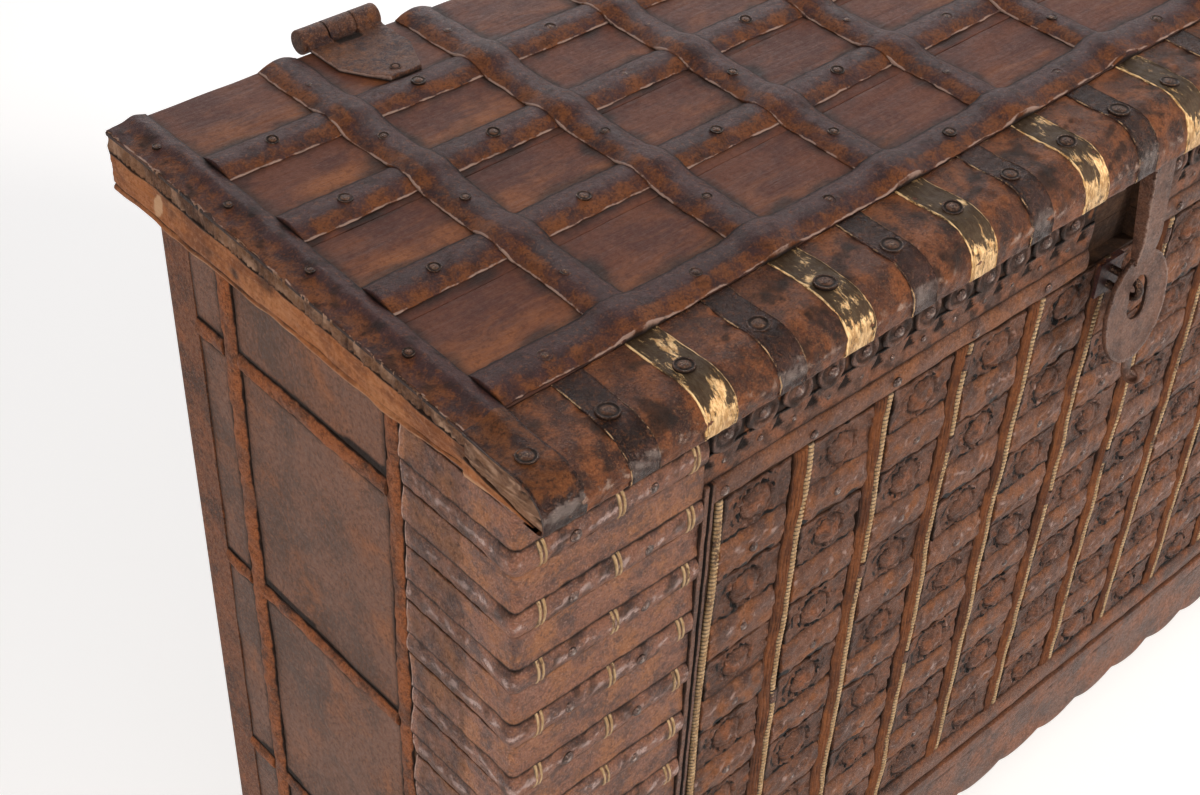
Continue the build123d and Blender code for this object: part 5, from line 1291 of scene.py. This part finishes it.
# ------------------------------------------------------------------ frieze
lobe_count = int(2 * HALF_PANEL // LOBE_PITCH)
LOBE_XS = [(k - (lobe_count - 1) / 2) * LOBE_PITCH for k in range(lobe_count)]
LOBE_Z = FRIEZE_TOP - LOBE_RADIUS
FRIEZE_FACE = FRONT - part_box("frieze_strip")[0].y
FRIEZE_BAND_TOP = BORDER_TOP + 30 * MM
PIERCING_HALF, PIERCING_HEIGHT = 6.5 * MM, 11 * MM
PIERCING_LOW = FRIEZE_BAND_TOP - PIERCING_HEIGHT - FRIEZE_FACE
HALVES = ((-HALF_PANEL, -BREAK_HALF), (BREAK_HALF, HALF_PANEL))


def lobe(x, seed):
    """A dished disc on each lobe of the frieze, with a rolled rim."""
    random = np.random.default_rng(seed)
    angles = np.linspace(0, 2 * math.pi, 30, endpoint=False)
    # radius and rise in millimetres, then how dark (grime, and painted shade at the foot and in the dish) and
    # how light (rubbing, and painted highlights on the rims)
    profile = ((17.4, -1.8, 1.0, 0), (17.0, 0.5, 0.7, 0), (15.2, 1.8, 0.1, 0.4), (13.0, 1.5, 0.2, 0.3),
               (11.0, 0.5, 0.6, 0), (9.0, 0.5, 0.5, 0.1), (7.0, 1.5, 0.3, 0.3), (4.0, 1.8, 0.3, 0))
    dent = random.uniform(0, 6)
    bent = 0.6 * np.sin(2 * angles + dent)
    rings = []
    for r, h, *_ in profile:
        bulges = 0.05 * np.sin(2 * angles + dent) + 0.04 * np.sin(5 * angles + random.uniform(0, 6))
        reach = r * MM * (1 + bulges)
        rise = FRIEZE_FACE + (h + bent * (r > 8)) * MM
        rings.append(on_front(x + reach * np.cos(angles), LOBE_Z + reach * np.sin(angles), rise))
    grime = 0.35 + 0.3 * np.sin(2 * angles + random.uniform(0, 6))
    soot, worn = np.array(profile)[:, 2:].T
    return loft(rings, soot=np.maximum(soot[:, None], grime), worn=worn[:, None])


def frieze_band(x0, x1, seed):
    """The foot of the frieze: a strip pierced by small triangles between the lobes."""
    def from_piercing(u, v):
        """Below 0 inside a triangle, and growing away from it."""
        along = (u - LOBE_XS[0]) % LOBE_PITCH - LOBE_PITCH / 2
        up = (v - PIERCING_LOW) / PIERCING_HEIGHT
        return np.maximum(np.abs(along) / PIERCING_HALF - (1 - up), -up * 2) * 4

    def height(u, v):
        sunk = smooth(0.6, -0.4, from_piercing(u, v))
        return FRIEZE_FACE + 0.5 * MM - 1.9 * MM * sunk + 0.4 * MM * uneven(u, v, 22, seed)

    # Dark in the sunk triangles, standing in for the openings of the piercings, and along the seam above the
    # border: painted shade; grime in patches elsewhere
    def soot(u, v):
        grimy = 0.5 * smooth(-0.4, 0.9, uneven(u, v, 20, seed + 2))
        seam = 0.8 * smooth(5 * MM, 0, v - BORDER_TOP)
        return np.maximum(smooth(0.8, 0.0, from_piercing(u, v)), np.maximum(grimy, seam))

    return relief(on_front, stations(x0, x1, 2.2, 0.6), stations(BORDER_TOP + SEAM, FRIEZE_BAND_TOP, 2, 0.6),
                  height, 0.6, soot=soot, rust=blotched(0.35, 0.4, 26, seed + 1),
                  tear=lambda u, v: 0.6 * smooth(-5 * MM, 0, v - FRIEZE_BAND_TOP))


def behind_lobes(x0, x1, seed):
    """The old timber seen between the lobes, eaten and with rust run down it. Its near-black is partly
    blackening and partly painted shade behind the lobes.
    """
    return relief(on_front, stations(x0, x1, 3, 0.6), stations(FRIEZE_BAND_TOP - 4 * MM, FRIEZE_TOP, 3, 0.6),
                  blotched(0.5 * MM, 0.7 * MM, 9, seed), soot=blotched(1.0, 0.6, 12, seed + 1), rust=1.0)


whole_lobes = [x for x in LOBE_XS if abs(x) > BREAK_HALF + LOBE_RADIUS - 3 * MM]
lobes = [lobe(x, 6500 + k) for k, x in enumerate(whole_lobes)]
lobes += [frieze_band(*half, 6560 + k) for k, half in enumerate(HALVES)]
piece("frieze_lobes", lobes, panel_iron, "case", "sheet_iron", "frieze_strip")
eaten = [behind_lobes(*half, 6580 + k) for k, half in enumerate(HALVES)]
piece("eaten_frieze_timber", eaten, case_wood, "case", "case_wood")
frieze_heads = []
for k, x in enumerate(whole_lobes):
    frieze_heads.append(front_head(x, LOBE_Z, FRIEZE_FACE + 1 * MM, 6 * MM, 4.6 * MM, 6600 + k))
    frieze_heads.append(front_head(x, BORDER_TOP + 15 * MM, FRIEZE_FACE, 3 * MM, 1.8 * MM, 6700 + k))
piece("frieze_nail_heads", frieze_heads, front_nail_iron, "case", "nail_iron", "frieze_nails")

PANEL_NAIL = 4.8 * MM
BORDER_Z = (PANEL_TOP + BORDER_TOP) / 2
panel_heads = [front_head(x, z, 5.2 * MM, PANEL_NAIL, 3 * MM, 6800 + 10 * r + c)
               for r, z in enumerate(BAND_ZS) for c, x in enumerate(COLUMN_XS)]
panel_heads += [front_head(x, BORDER_Z, 5.6 * MM, PANEL_NAIL, 3.2 * MM, 6900 + k)
                for k, x in enumerate(BEAD_XS) if abs(x) > BREAK_HALF + 5 * MM]
piece("panel_nail_heads", panel_heads, front_nail_iron, "case", "nail_iron", "panel_nails")

# ------------------------------------------------------------------ corner bands
SIDE_RUN_START = CORNER_FRONT_RUN + CORNER_BEND
BAND_WAVE = 2.6 * MM


def band_place(side):
    """Round the corner, with the band's back end cut a little unevenly."""
    def place(u, v, h):
        wave = BAND_WAVE * uneven(v, 0, 55, 7001 + side) - BAND_WAVE
        return round_corner(side)(u + wave * smooth(CORNER_LENGTH - 30 * MM, CORNER_LENGTH, u), v, h)
    return place


def band_inset(u, v, start, seed):
    """The darker stretch along the side, from start to near the band's end."""
    back = u - SIDE_RUN_START - start + 3 * MM * uneven(v, 0, 20, seed)
    return 0.42 * smooth(0, 3 * MM, back) * smooth(CORNER_LENGTH - 3 * MM, CORNER_LENGTH - 9 * MM, u)


def band_end(u):
    return 0.9 * bump(u, CORNER_LENGTH - 1 * MM, 1.6 * MM)


def round_crown(t):
    """Rise of a corner moulding's section, from -1 at its foot to 1 at its top."""
    return 6.6 * MM * np.clip(1 - t ** 2, 0, 1) ** 0.5


def plain_band(side, foot, seed):
    """The flat lower part of a corner band: it leans out to its lip and is thin iron at the side's back."""
    def height(u, v):
        return 4.8 * MM - 1.7 * MM * (v - foot) / LOWER_HEIGHT + 0.5 * MM * uneven(u, v, 20, seed)

    # Dark at the foot and under the round above: painted shade; the inset along the side is darker
    def soot(u, v):
        seam = smooth(2.6 * MM, 0.4 * MM, v - foot) + 0.5 * smooth(2 * MM, 0, foot + LOWER_HEIGHT - v)
        return np.maximum(band_inset(u, v, 48 * MM, seed + 2), 0.85 * seam)

    def edge(u, v):
        lip = 0.5 * bump(v, foot + 4 * MM, 1.2 * MM) * smooth(0.2, 0.9, uneven(u, 0, 40, seed + 4))
        return band_end(u) + lip

    return relief(band_place(side), stations(0, CORNER_LENGTH, 4, 0.8),
                  stations(foot, foot + LOWER_HEIGHT, 2.6, 0.7), height, 0.7,
                  rust=blotched(0.4, 0.4, 45, seed + 1), soot=soot, edge=edge)


def round_band(side, foot, seed):
    """The half-round upper part of a corner band, flattened along the side."""
    middle, half = foot + ROUND_HEIGHT / 2, ROUND_HEIGHT / 2

    def height(u, v):
        flatten = 1 - 0.5 * smooth(SIDE_RUN_START, SIDE_RUN_START + 40 * MM, u)
        return 1 * MM + round_crown((v - middle) / half) * flatten + 0.5 * MM * uneven(u, v, 18, seed)

    # Lighter along the round's crown: painted highlight with some rubbing
    def worn(u, v):
        return 0.95 * bump((v - middle) / half, 0.1, 0.7) * smooth(-0.5, 0.7, uneven(u, v, 12, seed + 1))

    # Dark at both seams: painted shade; the clouds are grime
    def soot(u, v):
        clouds = 0.5 * smooth(-0.1, 0.9, uneven(u, v, 26, seed + 3))
        seams = 0.8 * smooth(0.8, 0.98, np.abs((v - middle) / half))
        return np.maximum(np.maximum(band_inset(u, v, 45 * MM, seed + 2), clouds), seams)

    return relief(band_place(side), stations(0, CORNER_LENGTH, 4, 0.8),
                  stations(foot, foot + ROUND_HEIGHT, 2.0, 0.6), height, 0.6, rust=0.15, worn=worn, soot=soot,
                  edge=lambda u, v: band_end(u))


feet = [APRON_TOP + k * BAND_PITCH for k in range(BANDS)]
for side, word in zip(SIDES, WORDS):
    plain = [plain_band(side, foot, 7100 + 10 * k + side) for k, foot in enumerate(feet)]
    piece(f"corner_plain_bands_{word}", plain, band_iron, "case", "sheet_iron", f"corner_bands_{word}")
    rounds = [round_band(side, foot + LOWER_HEIGHT, 7300 + 10 * k + side) for k, foot in enumerate(feet)]
    piece(f"corner_round_bands_{word}", rounds, band_iron, "case", "sheet_iron", f"corner_mouldings_{word}")

CLIP_PITCH = 76 * MM
CLIP_HALF = 4.5 * MM
STILE_START = HALF_PANEL + 9 * MM
CLIP_XS = [x for x in (HALF_CASE - 20 * MM - k * CLIP_PITCH for k in range(3)) if x > STILE_START]
NAIL_XS = [x for x in (clip - 31 * MM for clip in CLIP_XS) if x > STILE_START]


def brass_clip(x, middle, seed):
    """Two brass wires side by side, bent over a half-round."""
    half = ROUND_HEIGHT / 2
    lean = 1.6 * MM * np.random.default_rng(seed).uniform(-1, 1)

    def wires(u):
        return np.abs(np.sin((u - x) / CLIP_HALF * math.pi))

    def height(u, v):
        return 0.1 * MM + round_crown((v - middle) / half) + 2.2 * MM * wires(u)

    def place(u, v, h):
        return on_front(u + lean * (v - middle) / half, v, h)

    # Near-black between the two wires: painted shade
    return relief(place, stations(x - CLIP_HALF, x + CLIP_HALF, 0.6, 0.3),
                  stations(middle - half, middle + half, 1.5, 0.4), height, 0.3, rust=0.25,
                  soot=lambda u, v: 0.95 * (1 - wires(u)) ** 0.8)


clips, corner_heads = [], []
for k, foot in enumerate(feet):
    middle = foot + LOWER_HEIGHT + ROUND_HEIGHT / 2
    for side in SIDES:
        for j, x in enumerate(CLIP_XS):
            clips.append(brass_clip(side * x, middle, 7600 + 10 * k + j))
        for j, x in enumerate(NAIL_XS):
            corner_heads.append(front_head(side * x, middle, 7.2 * MM, 5.6 * MM, 2.8 * MM, 7700 + 10 * k + j))
piece("brass_corner_clips", clips, bead_brass, "case", "brass", "corner_clips")
piece("corner_nail_heads", corner_heads, front_nail_iron, "case", "nail_iron", "corner_nails")

# ------------------------------------------------------------------ apron
SCALLOPS = 19
SCALLOP_DEPTH = 10 * MM
SCALLOP_PITCH = 2 * HALF_CASE / SCALLOPS


def apron_relief():
    """The iron-faced apron with its scalloped foot: a fillet along the top and a shallow groove."""
    def share(v):
        return (v - APRON_LOW) / (APRON_TOP - APRON_LOW)

    def place(u, v, h):
        phase = (u + HALF_CASE) / SCALLOP_PITCH % 1.0
        worn_off = 1.0 * MM * np.clip(uneven(u, 0, 37, 8001), 0, 1)
        low = APRON_LOW + SCALLOP_DEPTH * (2 * phase - 1) ** 2 + worn_off
        return on_front(u, low + share(v) * (APRON_TOP - low), APRON_FACE + h)

    def height(u, v):
        fillets = 0.9 * MM * bump(share(v), 0.9, 0.09) + 0.7 * MM * bump(share(v), 0.08, 0.1)
        return -1.2 * MM + fillets + 0.35 * MM * uneven(u, v, 40, 8002)

    # Dark along the groove below the top fillet: painted shade, broken by noise
    def soot(u, v):
        return 0.6 * bump(share(v), 0.8, 0.05) * smooth(-0.2, 0.6, uneven(u, v, 60, 8004))

    return relief(place, stations(-HALF_CASE, HALF_CASE, 3.6, 0.8), stations(APRON_LOW, APRON_TOP, 4, 0.8),
                  height, foot=-APRON_FACE / MM, rust=blotched(0.35, 0.35, 70, 8003), soot=soot)


piece("scalloped_iron_apron", [apron_relief()], panel_iron, "case", "sheet_iron", "apron_board")

# ------------------------------------------------------------------ sides
CASE_DEPTH = BACK - FRONT
SHEATH = 48 * MM
BACK_UPRIGHT = (CASE_DEPTH - SHEATH - 62 * MM, CASE_DEPTH - SHEATH - 40 * MM)
FRONT_UPRIGHT = (BAND_END + SEAM, BAND_END + SEAM + 18 * MM)
SIDE_STRAP_HALF = 9.5 * MM
SIDE_STRAP_ZS = [RIM - 109 * MM - k * 269 * MM for k in range(3)] + [SILL_LOW + SIDE_STRAP_HALF + SEAM]
SIDE_RUNS = ((FRONT_UPRIGHT[1] + SEAM, BACK_UPRIGHT[0] - SEAM),
             (BACK_UPRIGHT[1] + SEAM, CASE_DEPTH - SHEATH - SEAM))


def side_sheet(side, s0, s1, low, high, seed):
    """A plain sheet let in between the straps. A dark band along its foot, where it has pulled away from
    the strap under it, and a darker rim are painted shade.
    """
    def soot(u, v):
        gap = 5.5 * MM * smooth(-0.6, 0.8, uneven(u, 0, 160, seed + 2)) + 1.0 * MM
        rim = np.minimum(np.minimum(u - s0, s1 - u), high - v)
        return np.maximum(smooth(gap + 0.8 * MM, gap - 0.8 * MM, v - low), 0.7 * smooth(3 * MM, 0, rim))

    return relief(on_side(side), stations(s0, s1, 6, 0.7), stations(low, high, 5, 0.7),
                  blotched(1.1 * MM, 0.6 * MM, 110, seed), 0.6,
                  rust=blotched(0, 0.45, 130, seed + 1), soot=soot)


def side_round(side, s0, s1, low, high, rise, seed):
    """A half-round strap on a side. An upright one is round across its width."""
    upright = high - low > s1 - s0
    middle, half = halved(s0, s1) if upright else halved(low, high)

    def share(u, v):
        return ((u if upright else v) - middle) / half

    def place(u, v, h):
        run = v if upright else u
        drift = 0.8 * MM * uneven(run, 0, 100, seed) + 0.8 * MM * uneven(run, 0, 14, seed + 3) * share(u, v)
        return on_side(side)(u + drift, v, h) if upright else on_side(side)(u, v + drift, h)

    def height(u, v):
        arch = np.clip(1 - share(u, v) ** 2, 0, 1) ** 0.6
        return 0.8 * MM + (rise - 0.8 * MM) * arch + 0.6 * MM * uneven(u, v, 17, seed + 1)

    fine, coarse = 1.6, 5
    # Darker along both edges, where the strap meets the sheet: painted shade
    return relief(place, stations(s0, s1, fine if upright else coarse, 0.5),
                  stations(low, high, coarse if upright else fine, 0.5), height, 0.5,
                  rust=blotched(0.45, 0.35, 50, seed + 2),
                  soot=lambda u, v: 0.9 * smooth(0.8, 1, np.abs(share(u, v))))


for side, word in zip(SIDES, WORDS):
    sheets, straps = [], []
    for s0, s1 in SIDE_RUNS:
        tops = [RIM] + [z - SIDE_STRAP_HALF - SEAM for z in SIDE_STRAP_ZS[:-1]]
        for k, (z, top) in enumerate(zip(SIDE_STRAP_ZS, tops)):
            sheets.append(side_sheet(side, s0, s1, z + SIDE_STRAP_HALF + SEAM, top, 8200 + 10 * k + side))
            low, high = z - SIDE_STRAP_HALF, z + SIDE_STRAP_HALF
            straps.append(side_round(side, s0, s1, low, high, 5 * MM, 8300 + 10 * k + side))
    piece(f"side_iron_sheets_{word}", sheets, side_iron, "case", "sheet_iron", f"side_sheets_{word}")
    straps.append(side_round(side, *BACK_UPRIGHT, SILL_LOW, RIM, 5 * MM, 8400 + side))
    straps.append(side_round(side, *FRONT_UPRIGHT, SILL_LOW, RIM, 4 * MM, 8410 + side))
    piece(f"side_iron_straps_{word}", straps, rusty_iron, "case", "sheet_iron", f"side_straps_{word}")

# ------------------------------------------------------------------ hasp
LEAN = math.radians(7)
HASP_BACK = 6 * MM
BAR_END = -111 * MM
DISC_DROP = 161 * MM
SLOT_DROP = 151 * MM
SLOT_REACH = 9 * MM
HASP_SLOT_HALF = 14 * MM


def hung(points):
    """Turns hasp points, drawn hanging from a pin at the origin, to its lean and place."""
    x, y, z = np.moveaxis(np.array(points), -1, 0)
    return np.stack([x, HASP.y + y * math.cos(LEAN) + z * math.sin(LEAN),
                     HASP.z + z * math.cos(LEAN) - y * math.sin(LEAN)], axis=-1)


def hasp_bar():
    """The forged bar, with a ridge along its left front arris."""
    rings = []
    back = HASP_BACK
    for z in np.linspace(2 * MM, BAR_END, 42):
        t = z / BAR_END
        half = (16.5 - 2.2 * t) * MM
        depth = (15.5 - 4.5 * t) * MM * smooth(1.12, 0.72, t) + 5 * MM * smooth(0.72, 1.12, t)
        front = back - depth
        filed = 0.5 * MM * abs(math.sin(math.pi * z / (3.4 * MM)))
        notch = filed * smooth(0.05, 0.15, t) * smooth(1.0, 0.85, t)
        ring = [(-half, back), (-half - 0.2 * MM, (front + back) / 2), (-half - notch, front + 1.2 * MM),
                (-half + 0.6 * MM, front - 0.6 * MM - notch), (-half + 2.4 * MM, front),
                (-half / 3, front + 0.3 * MM), (half / 3, front + 0.3 * MM), (half - 2 * MM, front),
                (half, front + 1.6 * MM), (half + 0.2 * MM, (front + back) / 2), (half, back), (0, back)]
        rings.append([(x, y, z) for x, y in ring])
    return loft(hung(rings), edge=[0, 0, 0.6, 0.9, 0.3, 0, 0, 0.25, 0.2, 0, 0, 0],
                worn=[0, 0, 0.2, 0.5, 0.3, 0.1, 0.1, 0.3, 0.2, 0, 0, 0])


def hasp_plate():
    """The dished oval plate round its slot."""
    # share of the way out from the slot, and distance behind the plate's middle in millimetres
    profile = ((0.0, 5.2), (0.0, 2.4), (0.06, 1.7), (0.3, 1.9), (0.6, 1.9), (0.85, 1.6), (0.93, 0.9),
               (0.985, 1.0), (1.0, 2.2), (1.0, 5.0), (0.97, 6.0), (0.5, 6.0), (0.04, 6.0))
    rings, edges = [], []
    for a in np.linspace(0, 2 * math.pi, 72, endpoint=False):
        c, s = math.cos(a), math.sin(a)
        outer = np.array((48 * MM * c, -DISC_DROP + 59 * MM * s))
        end = 0 if abs(s) < 0.02 else math.copysign(SLOT_REACH, s) + HASP_SLOT_HALF * s
        inner = np.array((HASP_SLOT_HALF * c, -SLOT_DROP + end))
        section = [(y * MM, inner + (outer - inner) * share) for share, y in profile]
        rings.append([(x, y, z) for y, (x, z) in section])
        # The pale rim is stronger on the right: a painted highlight on the side towards the key lamp
        right = 0.5 + 0.5 * c
        edges.append([0, 0, 0, 0, 0, 0.1, 0.5 * right, 0.8 * right, 0.2, 0, 0, 0, 0])
    rings = np.array(rings)
    rings[..., 1] += 0.3 * MM * ripple(rings, 22 * MM, 8801)
    return loft(hung(rings), loop=True, edge=np.array(edges),
                worn=[0, 0, 0.3, 0, 0, 0.1, 0.5, 0.5, 0, 0, 0, 0, 0],
                soot=[0.6, 0.4, 0, 0, 0, 0, 0, 0, 0.2, 0.4, 0, 0, 0.3])


def hasp_tail():
    """The plate's tail, drawn out, curled forwards and rolled at its tip."""
    curl = 1.62 * math.pi
    root = -DISC_DROP - 55 * MM
    centre_y, centre_z = HASP_BACK - 12 * MM, -DISC_DROP - 71 * MM
    # place, then half the thickness and half the width in millimetres
    path = [(HASP_BACK - 2.2 * MM, root, 2.4, 9.0), (HASP_BACK - 2 * MM, root - 5 * MM, 2.2, 8.0)]
    for a in np.linspace(0, curl, 26):
        radius = (10 - 4.4 * a / curl) * MM
        path.append((centre_y + radius * math.cos(a), centre_z - radius * math.sin(a), 1.9, 7.2 - 0.5 * a))
    path = np.array(path)
    along = np.concatenate([path[1:], path[-1:]]) - np.concatenate([path[:1], path[:-1]])
    normal = np.stack([-along[:, 1], along[:, 0]], axis=-1)
    normal /= np.linalg.norm(normal, axis=-1)[:, None]
    angles = np.linspace(0, 2 * math.pi, 12, endpoint=False)
    c, s = np.cos(angles), np.sin(angles)
    across = path[:, 3:] * MM * np.sign(c) * np.abs(c) ** 0.6
    lift = path[:, 2:3] * MM * np.sign(s) * np.abs(s) ** 0.7
    y = path[:, :1] + normal[:, :1] * lift
    z = path[:, 1:2] + normal[:, 1:] * lift
    return loft(hung(np.stack([across, y, z], axis=-1)), worn=0.25)


knuckle_profile = [(-16.5, 7.6), (-16.0, 8.7), (-14, 9.0), (0, 9.0), (14, 9.0), (16.0, 8.7), (16.5, 7.6)]
hasp_knuckle = turned_round(HASP, (1, 0, 0), [(a * MM, r * MM) for a, r in knuckle_profile], turns=28,
                            worn=[0, 0.3, 0.2, 0.2, 0.2, 0.3, 0], soot=[0.8, 0.2, 0.1, 0, 0.1, 0.2, 0.8])
hasp_parts = [hasp_bar(), hasp_plate(), hasp_tail(), hasp_knuckle]
piece("forged_hasp", hasp_parts, hasp_iron, "hasp", "forged_iron", "hasp")

# ------------------------------------------------------------------ hinges
LEAF_HALF = 37.5 * MM
LEAF_TIP_HALF = 18.5 * MM
LEAF_TIP = ROW_YS[-1] + STRAP_WIDTH / 2
SHOULDER = LID_BACK - 42 * MM
KNUCKLE_REACH = 41 * MM
SLOT_HALF = 14.1 * MM
MIDDLE_KNUCKLE_HALF = 13.5 * MM


def leaf_face(x, seed):
    """The upper leaf on the lid, narrower past its shoulder and bent up over the last long strap."""
    def place(u, v, h):
        narrowed = np.clip((SHOULDER - v) / (SHOULDER - LEAF_TIP), 0, 1)
        half = LEAF_HALF + (LEAF_TIP_HALF - LEAF_HALF) * narrowed
        return on_top(x + u * half + 2.5 * MM * narrowed * (1 - u), v, h)

    def height(u, v):
        lifted = 1.4 * MM * smooth(0.75, 1, (LID_BACK - v) / (LID_BACK - LEAF_TIP))
        return 3.4 * MM + lifted + 0.5 * MM * uneven(u * LEAF_HALF, v, 24, seed)

    # Dark near the back over the slot for the middle knuckle: painted shade
    def soot(u, v):
        return 1.3 * smooth(11 * MM, 5 * MM, LID_BACK - v) * (np.abs(u) < SLOT_HALF / LEAF_HALF)

    return relief(place, np.concatenate([[-1, -1, -0.99], np.linspace(-0.97, 0.97, 24), [0.99, 1, 1]]),
                  stations(LEAF_TIP, LID_BACK - 1 * MM, 3, 0.6), height, 0.6, 0, soot=soot, worn=0.1,
                  rust=lambda u, v: 0.35 * smooth(0.2, -1, u) + 0.3,
                  edge=lambda u, v: 0.9 * bump(u, -1, 0.05) + 0.5 * bump(v, LEAF_TIP, 1.5 * MM))


def knuckle(x0, x1):
    middle, half = halved(x0, x1)
    profile = [(-half, 9.2 * MM), (-half + 0.8 * MM, 10.6 * MM), (-half + 2 * MM, 11 * MM), (0, 10.9 * MM),
               (half - 2 * MM, 11 * MM), (half - 0.8 * MM, 10.6 * MM), (half, 9.2 * MM)]
    return turned_round((middle, HINGE.y, HINGE.z), (1, 0, 0), profile, turns=30,
                        soot=[0.4, 0.15, 0, 0, 0, 0.15, 0.4], worn=[0, 0.2, 0.25, 0.15, 0.25, 0.2, 0],
                        rust=[0.45] * len(profile))


def leaf_tongue(x0, x1):
    """The part of a leaf that runs back and rolls up into its knuckle."""
    section = [(LID_BACK - 2 * MM, 0.0), (LID_BACK - 2 * MM, 3.6 * MM), (LID_BACK + 5 * MM, 5.2 * MM),
               (HINGE.y - 3 * MM, 9 * MM), (HINGE.y + 2 * MM, 9 * MM), (HINGE.y + 2 * MM, 0),
               (HINGE.y - 4 * MM, 0)]
    return loft([[(x, y, LID_TOP + z) for y, z in section] for x in np.linspace(x0, x1, 4)], rust=0.3)


upper, middle_knuckles = [], []
for k, x in enumerate((BAY_XS[1], BAY_XS[-2])):
    upper.append(leaf_face(x, 8900 + k))
    for a, b in ((-KNUCKLE_REACH, -SLOT_HALF), (SLOT_HALF, KNUCKLE_REACH)):
        upper.append(knuckle(x + a, x + b))
        upper.append(leaf_tongue(x + max(a, -LEAF_HALF), x + min(b, LEAF_HALF)))
    middle_knuckles.append(knuckle(x - MIDDLE_KNUCKLE_HALF, x + MIDDLE_KNUCKLE_HALF))
    upper.append(cupped_head((x, LEAF_TIP + 13 * MM, LID_TOP + 3.6 * MM), 6 * MM, 8930 + k))
piece("hinge_upper_leaves", upper, hinge_iron, "lid", "forged_iron", "hinge_leaves_upper")
piece("hinge_middle_knuckles", middle_knuckles, hinge_iron, "case", "forged_iron")

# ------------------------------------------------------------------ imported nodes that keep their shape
dress(hinge_iron, "hinge_leaves_lower", "hinge_pins")
dress(strap_iron, "hasp_bracket", "hasp_pin", "staple_plate")
dress(nail_iron, "hinge_nails", "staple")
dress(rusty_iron, "back_corner_sheaths")
dress(post_wood, *(f"corner_post_{end}_{word}" for end in ("front", "back") for word in WORDS))
dress(case_wood, "front_boards", "back_boards", "floor_boards", "top_rail_front", "top_rail_back",
      "sill_front", "sill_back")
dress(side_board_wood, "left_boards", "right_boards", "top_rails_side", "sills_side")

# ------------------------------------------------------------------ camera
# Fitted in units from a point on the lid's top, then moved into the frame of the part
UNIT = 150 * MM
CAMERA_X = (-4.889 - 3.90) * UNIT
CAMERA_Y = FRONT - 70 * MM + (-4.984 + 0.80) * UNIT
CAMERA_Z = LID_TOP + 5.313 * UNIT
CAMERA_LOOK = Vector((0.53021, 0.55150, -0.64399))
CAMERA_RIGHT = Vector((0.74054, -0.67110, 0.03499))
FOCAL_PIXELS = 1845.8
IMAGE_WIDTH = 1200

camera_data = bpy.data.cameras.new("view")
camera_data.sensor_width = 36
camera_data.sensor_fit = "HORIZONTAL"
camera_data.lens = FOCAL_PIXELS / IMAGE_WIDTH * camera_data.sensor_width
camera = bpy.data.objects.new("view", camera_data)
bpy.context.scene.collection.objects.link(camera)
look = CAMERA_LOOK.normalized()
right = (CAMERA_RIGHT - CAMERA_RIGHT.dot(look) * look).normalized()
camera_up = right.cross(look)
camera.matrix_world = Matrix((
    (right.x, camera_up.x, -look.x, CAMERA_X),
    (right.y, camera_up.y, -look.y, CAMERA_Y),
    (right.z, camera_up.z, -look.z, CAMERA_Z),
    (0, 0, 0, 1),
))
bpy.context.scene.camera = camera

# ------------------------------------------------------------------ floor, world and lamps
REACH = 9.0
CORNERS = [(-REACH, -REACH, 0), (REACH, -REACH, 0), (REACH, REACH, 0), (-REACH, REACH, 0)]
floor_mesh = bpy.data.meshes.new("floor")
floor_mesh.from_pydata(CORNERS, [], [(0, 1, 2, 3)])
floor = bpy.data.objects.new("floor", floor_mesh)
bpy.context.scene.collection.objects.link(floor)


def shown_white(tree):
    """1 where the camera sees the backdrop, straight, mirrored or through glass."""
    rays = add(tree, "LightPath").node
    mirrored = add(tree, "Math", {0: rays.outputs["Is Camera Ray"], 1: rays.outputs["Is Glossy Ray"]},
                   operation="MAXIMUM")
    return add(tree, "Math", {0: mirrored, 1: rays.outputs["Is Transmission Ray"]}, operation="MAXIMUM")


# Studio paper: matt white, lifted to white where the camera sees it unshaded
paper, tree, surface = new_material("white_studio_paper", roughness=0.9)
surface.inputs["Base Color"].default_value = linear("#f2f2f2")
lift = add(tree, "Math", {0: shown_white(tree), 1: 0.45}, operation="MULTIPLY")
glow = add(tree, "Emission", {"Color": "#ffffff", "Strength": lift})
both = add(tree, "AddShader", {0: surface.outputs[0], 1: glow})
tree.links.new(both, tree.nodes["Material Output"].inputs["Surface"])
floor_mesh.materials.append(paper)

world = bpy.data.worlds.new("studio")
bpy.context.scene.world = world
world.use_nodes = True
tree = world.node_tree
strength = add(tree, "MapRange", {0: shown_white(tree), 3: 0.26, 4: 1.0})
tree.links.new(strength, tree.nodes["Background"].inputs["Strength"])
tree.nodes["Background"].inputs["Color"].default_value = linear("#ffffff")


def soft_lamp(name, place, target, size, power, colour="#ffffff"):
    lamp = bpy.data.lights.new(name, "AREA")
    lamp.shape = "RECTANGLE"
    lamp.size, lamp.size_y = size
    lamp.energy = power
    lamp.color = linear(colour)[:3]
    holder = bpy.data.objects.new(name, lamp)
    holder.location = place
    holder.rotation_euler = (Vector(target) - Vector(place)).to_track_quat("-Z", "Y").to_euler()
    bpy.context.scene.collection.objects.link(holder)


soft_lamp("key_front_right", (2.3, -2.9, 2.9), (0, 0, 0.6), (0.7, 0.7), 122, "#fff3e8")
soft_lamp("low_back_right", (1.9, 2.6, 1.9), (0, 0, 1.0), (3.0, 1.0), 27, "#faf4f6")
soft_lamp("fill_left", (-3.2, -1.2, 1.5), (0, 0, 0.6), (2.0, 2.0), 62, "#fff3e8")

bpy.context.scene.view_settings.view_transform = "Standard"
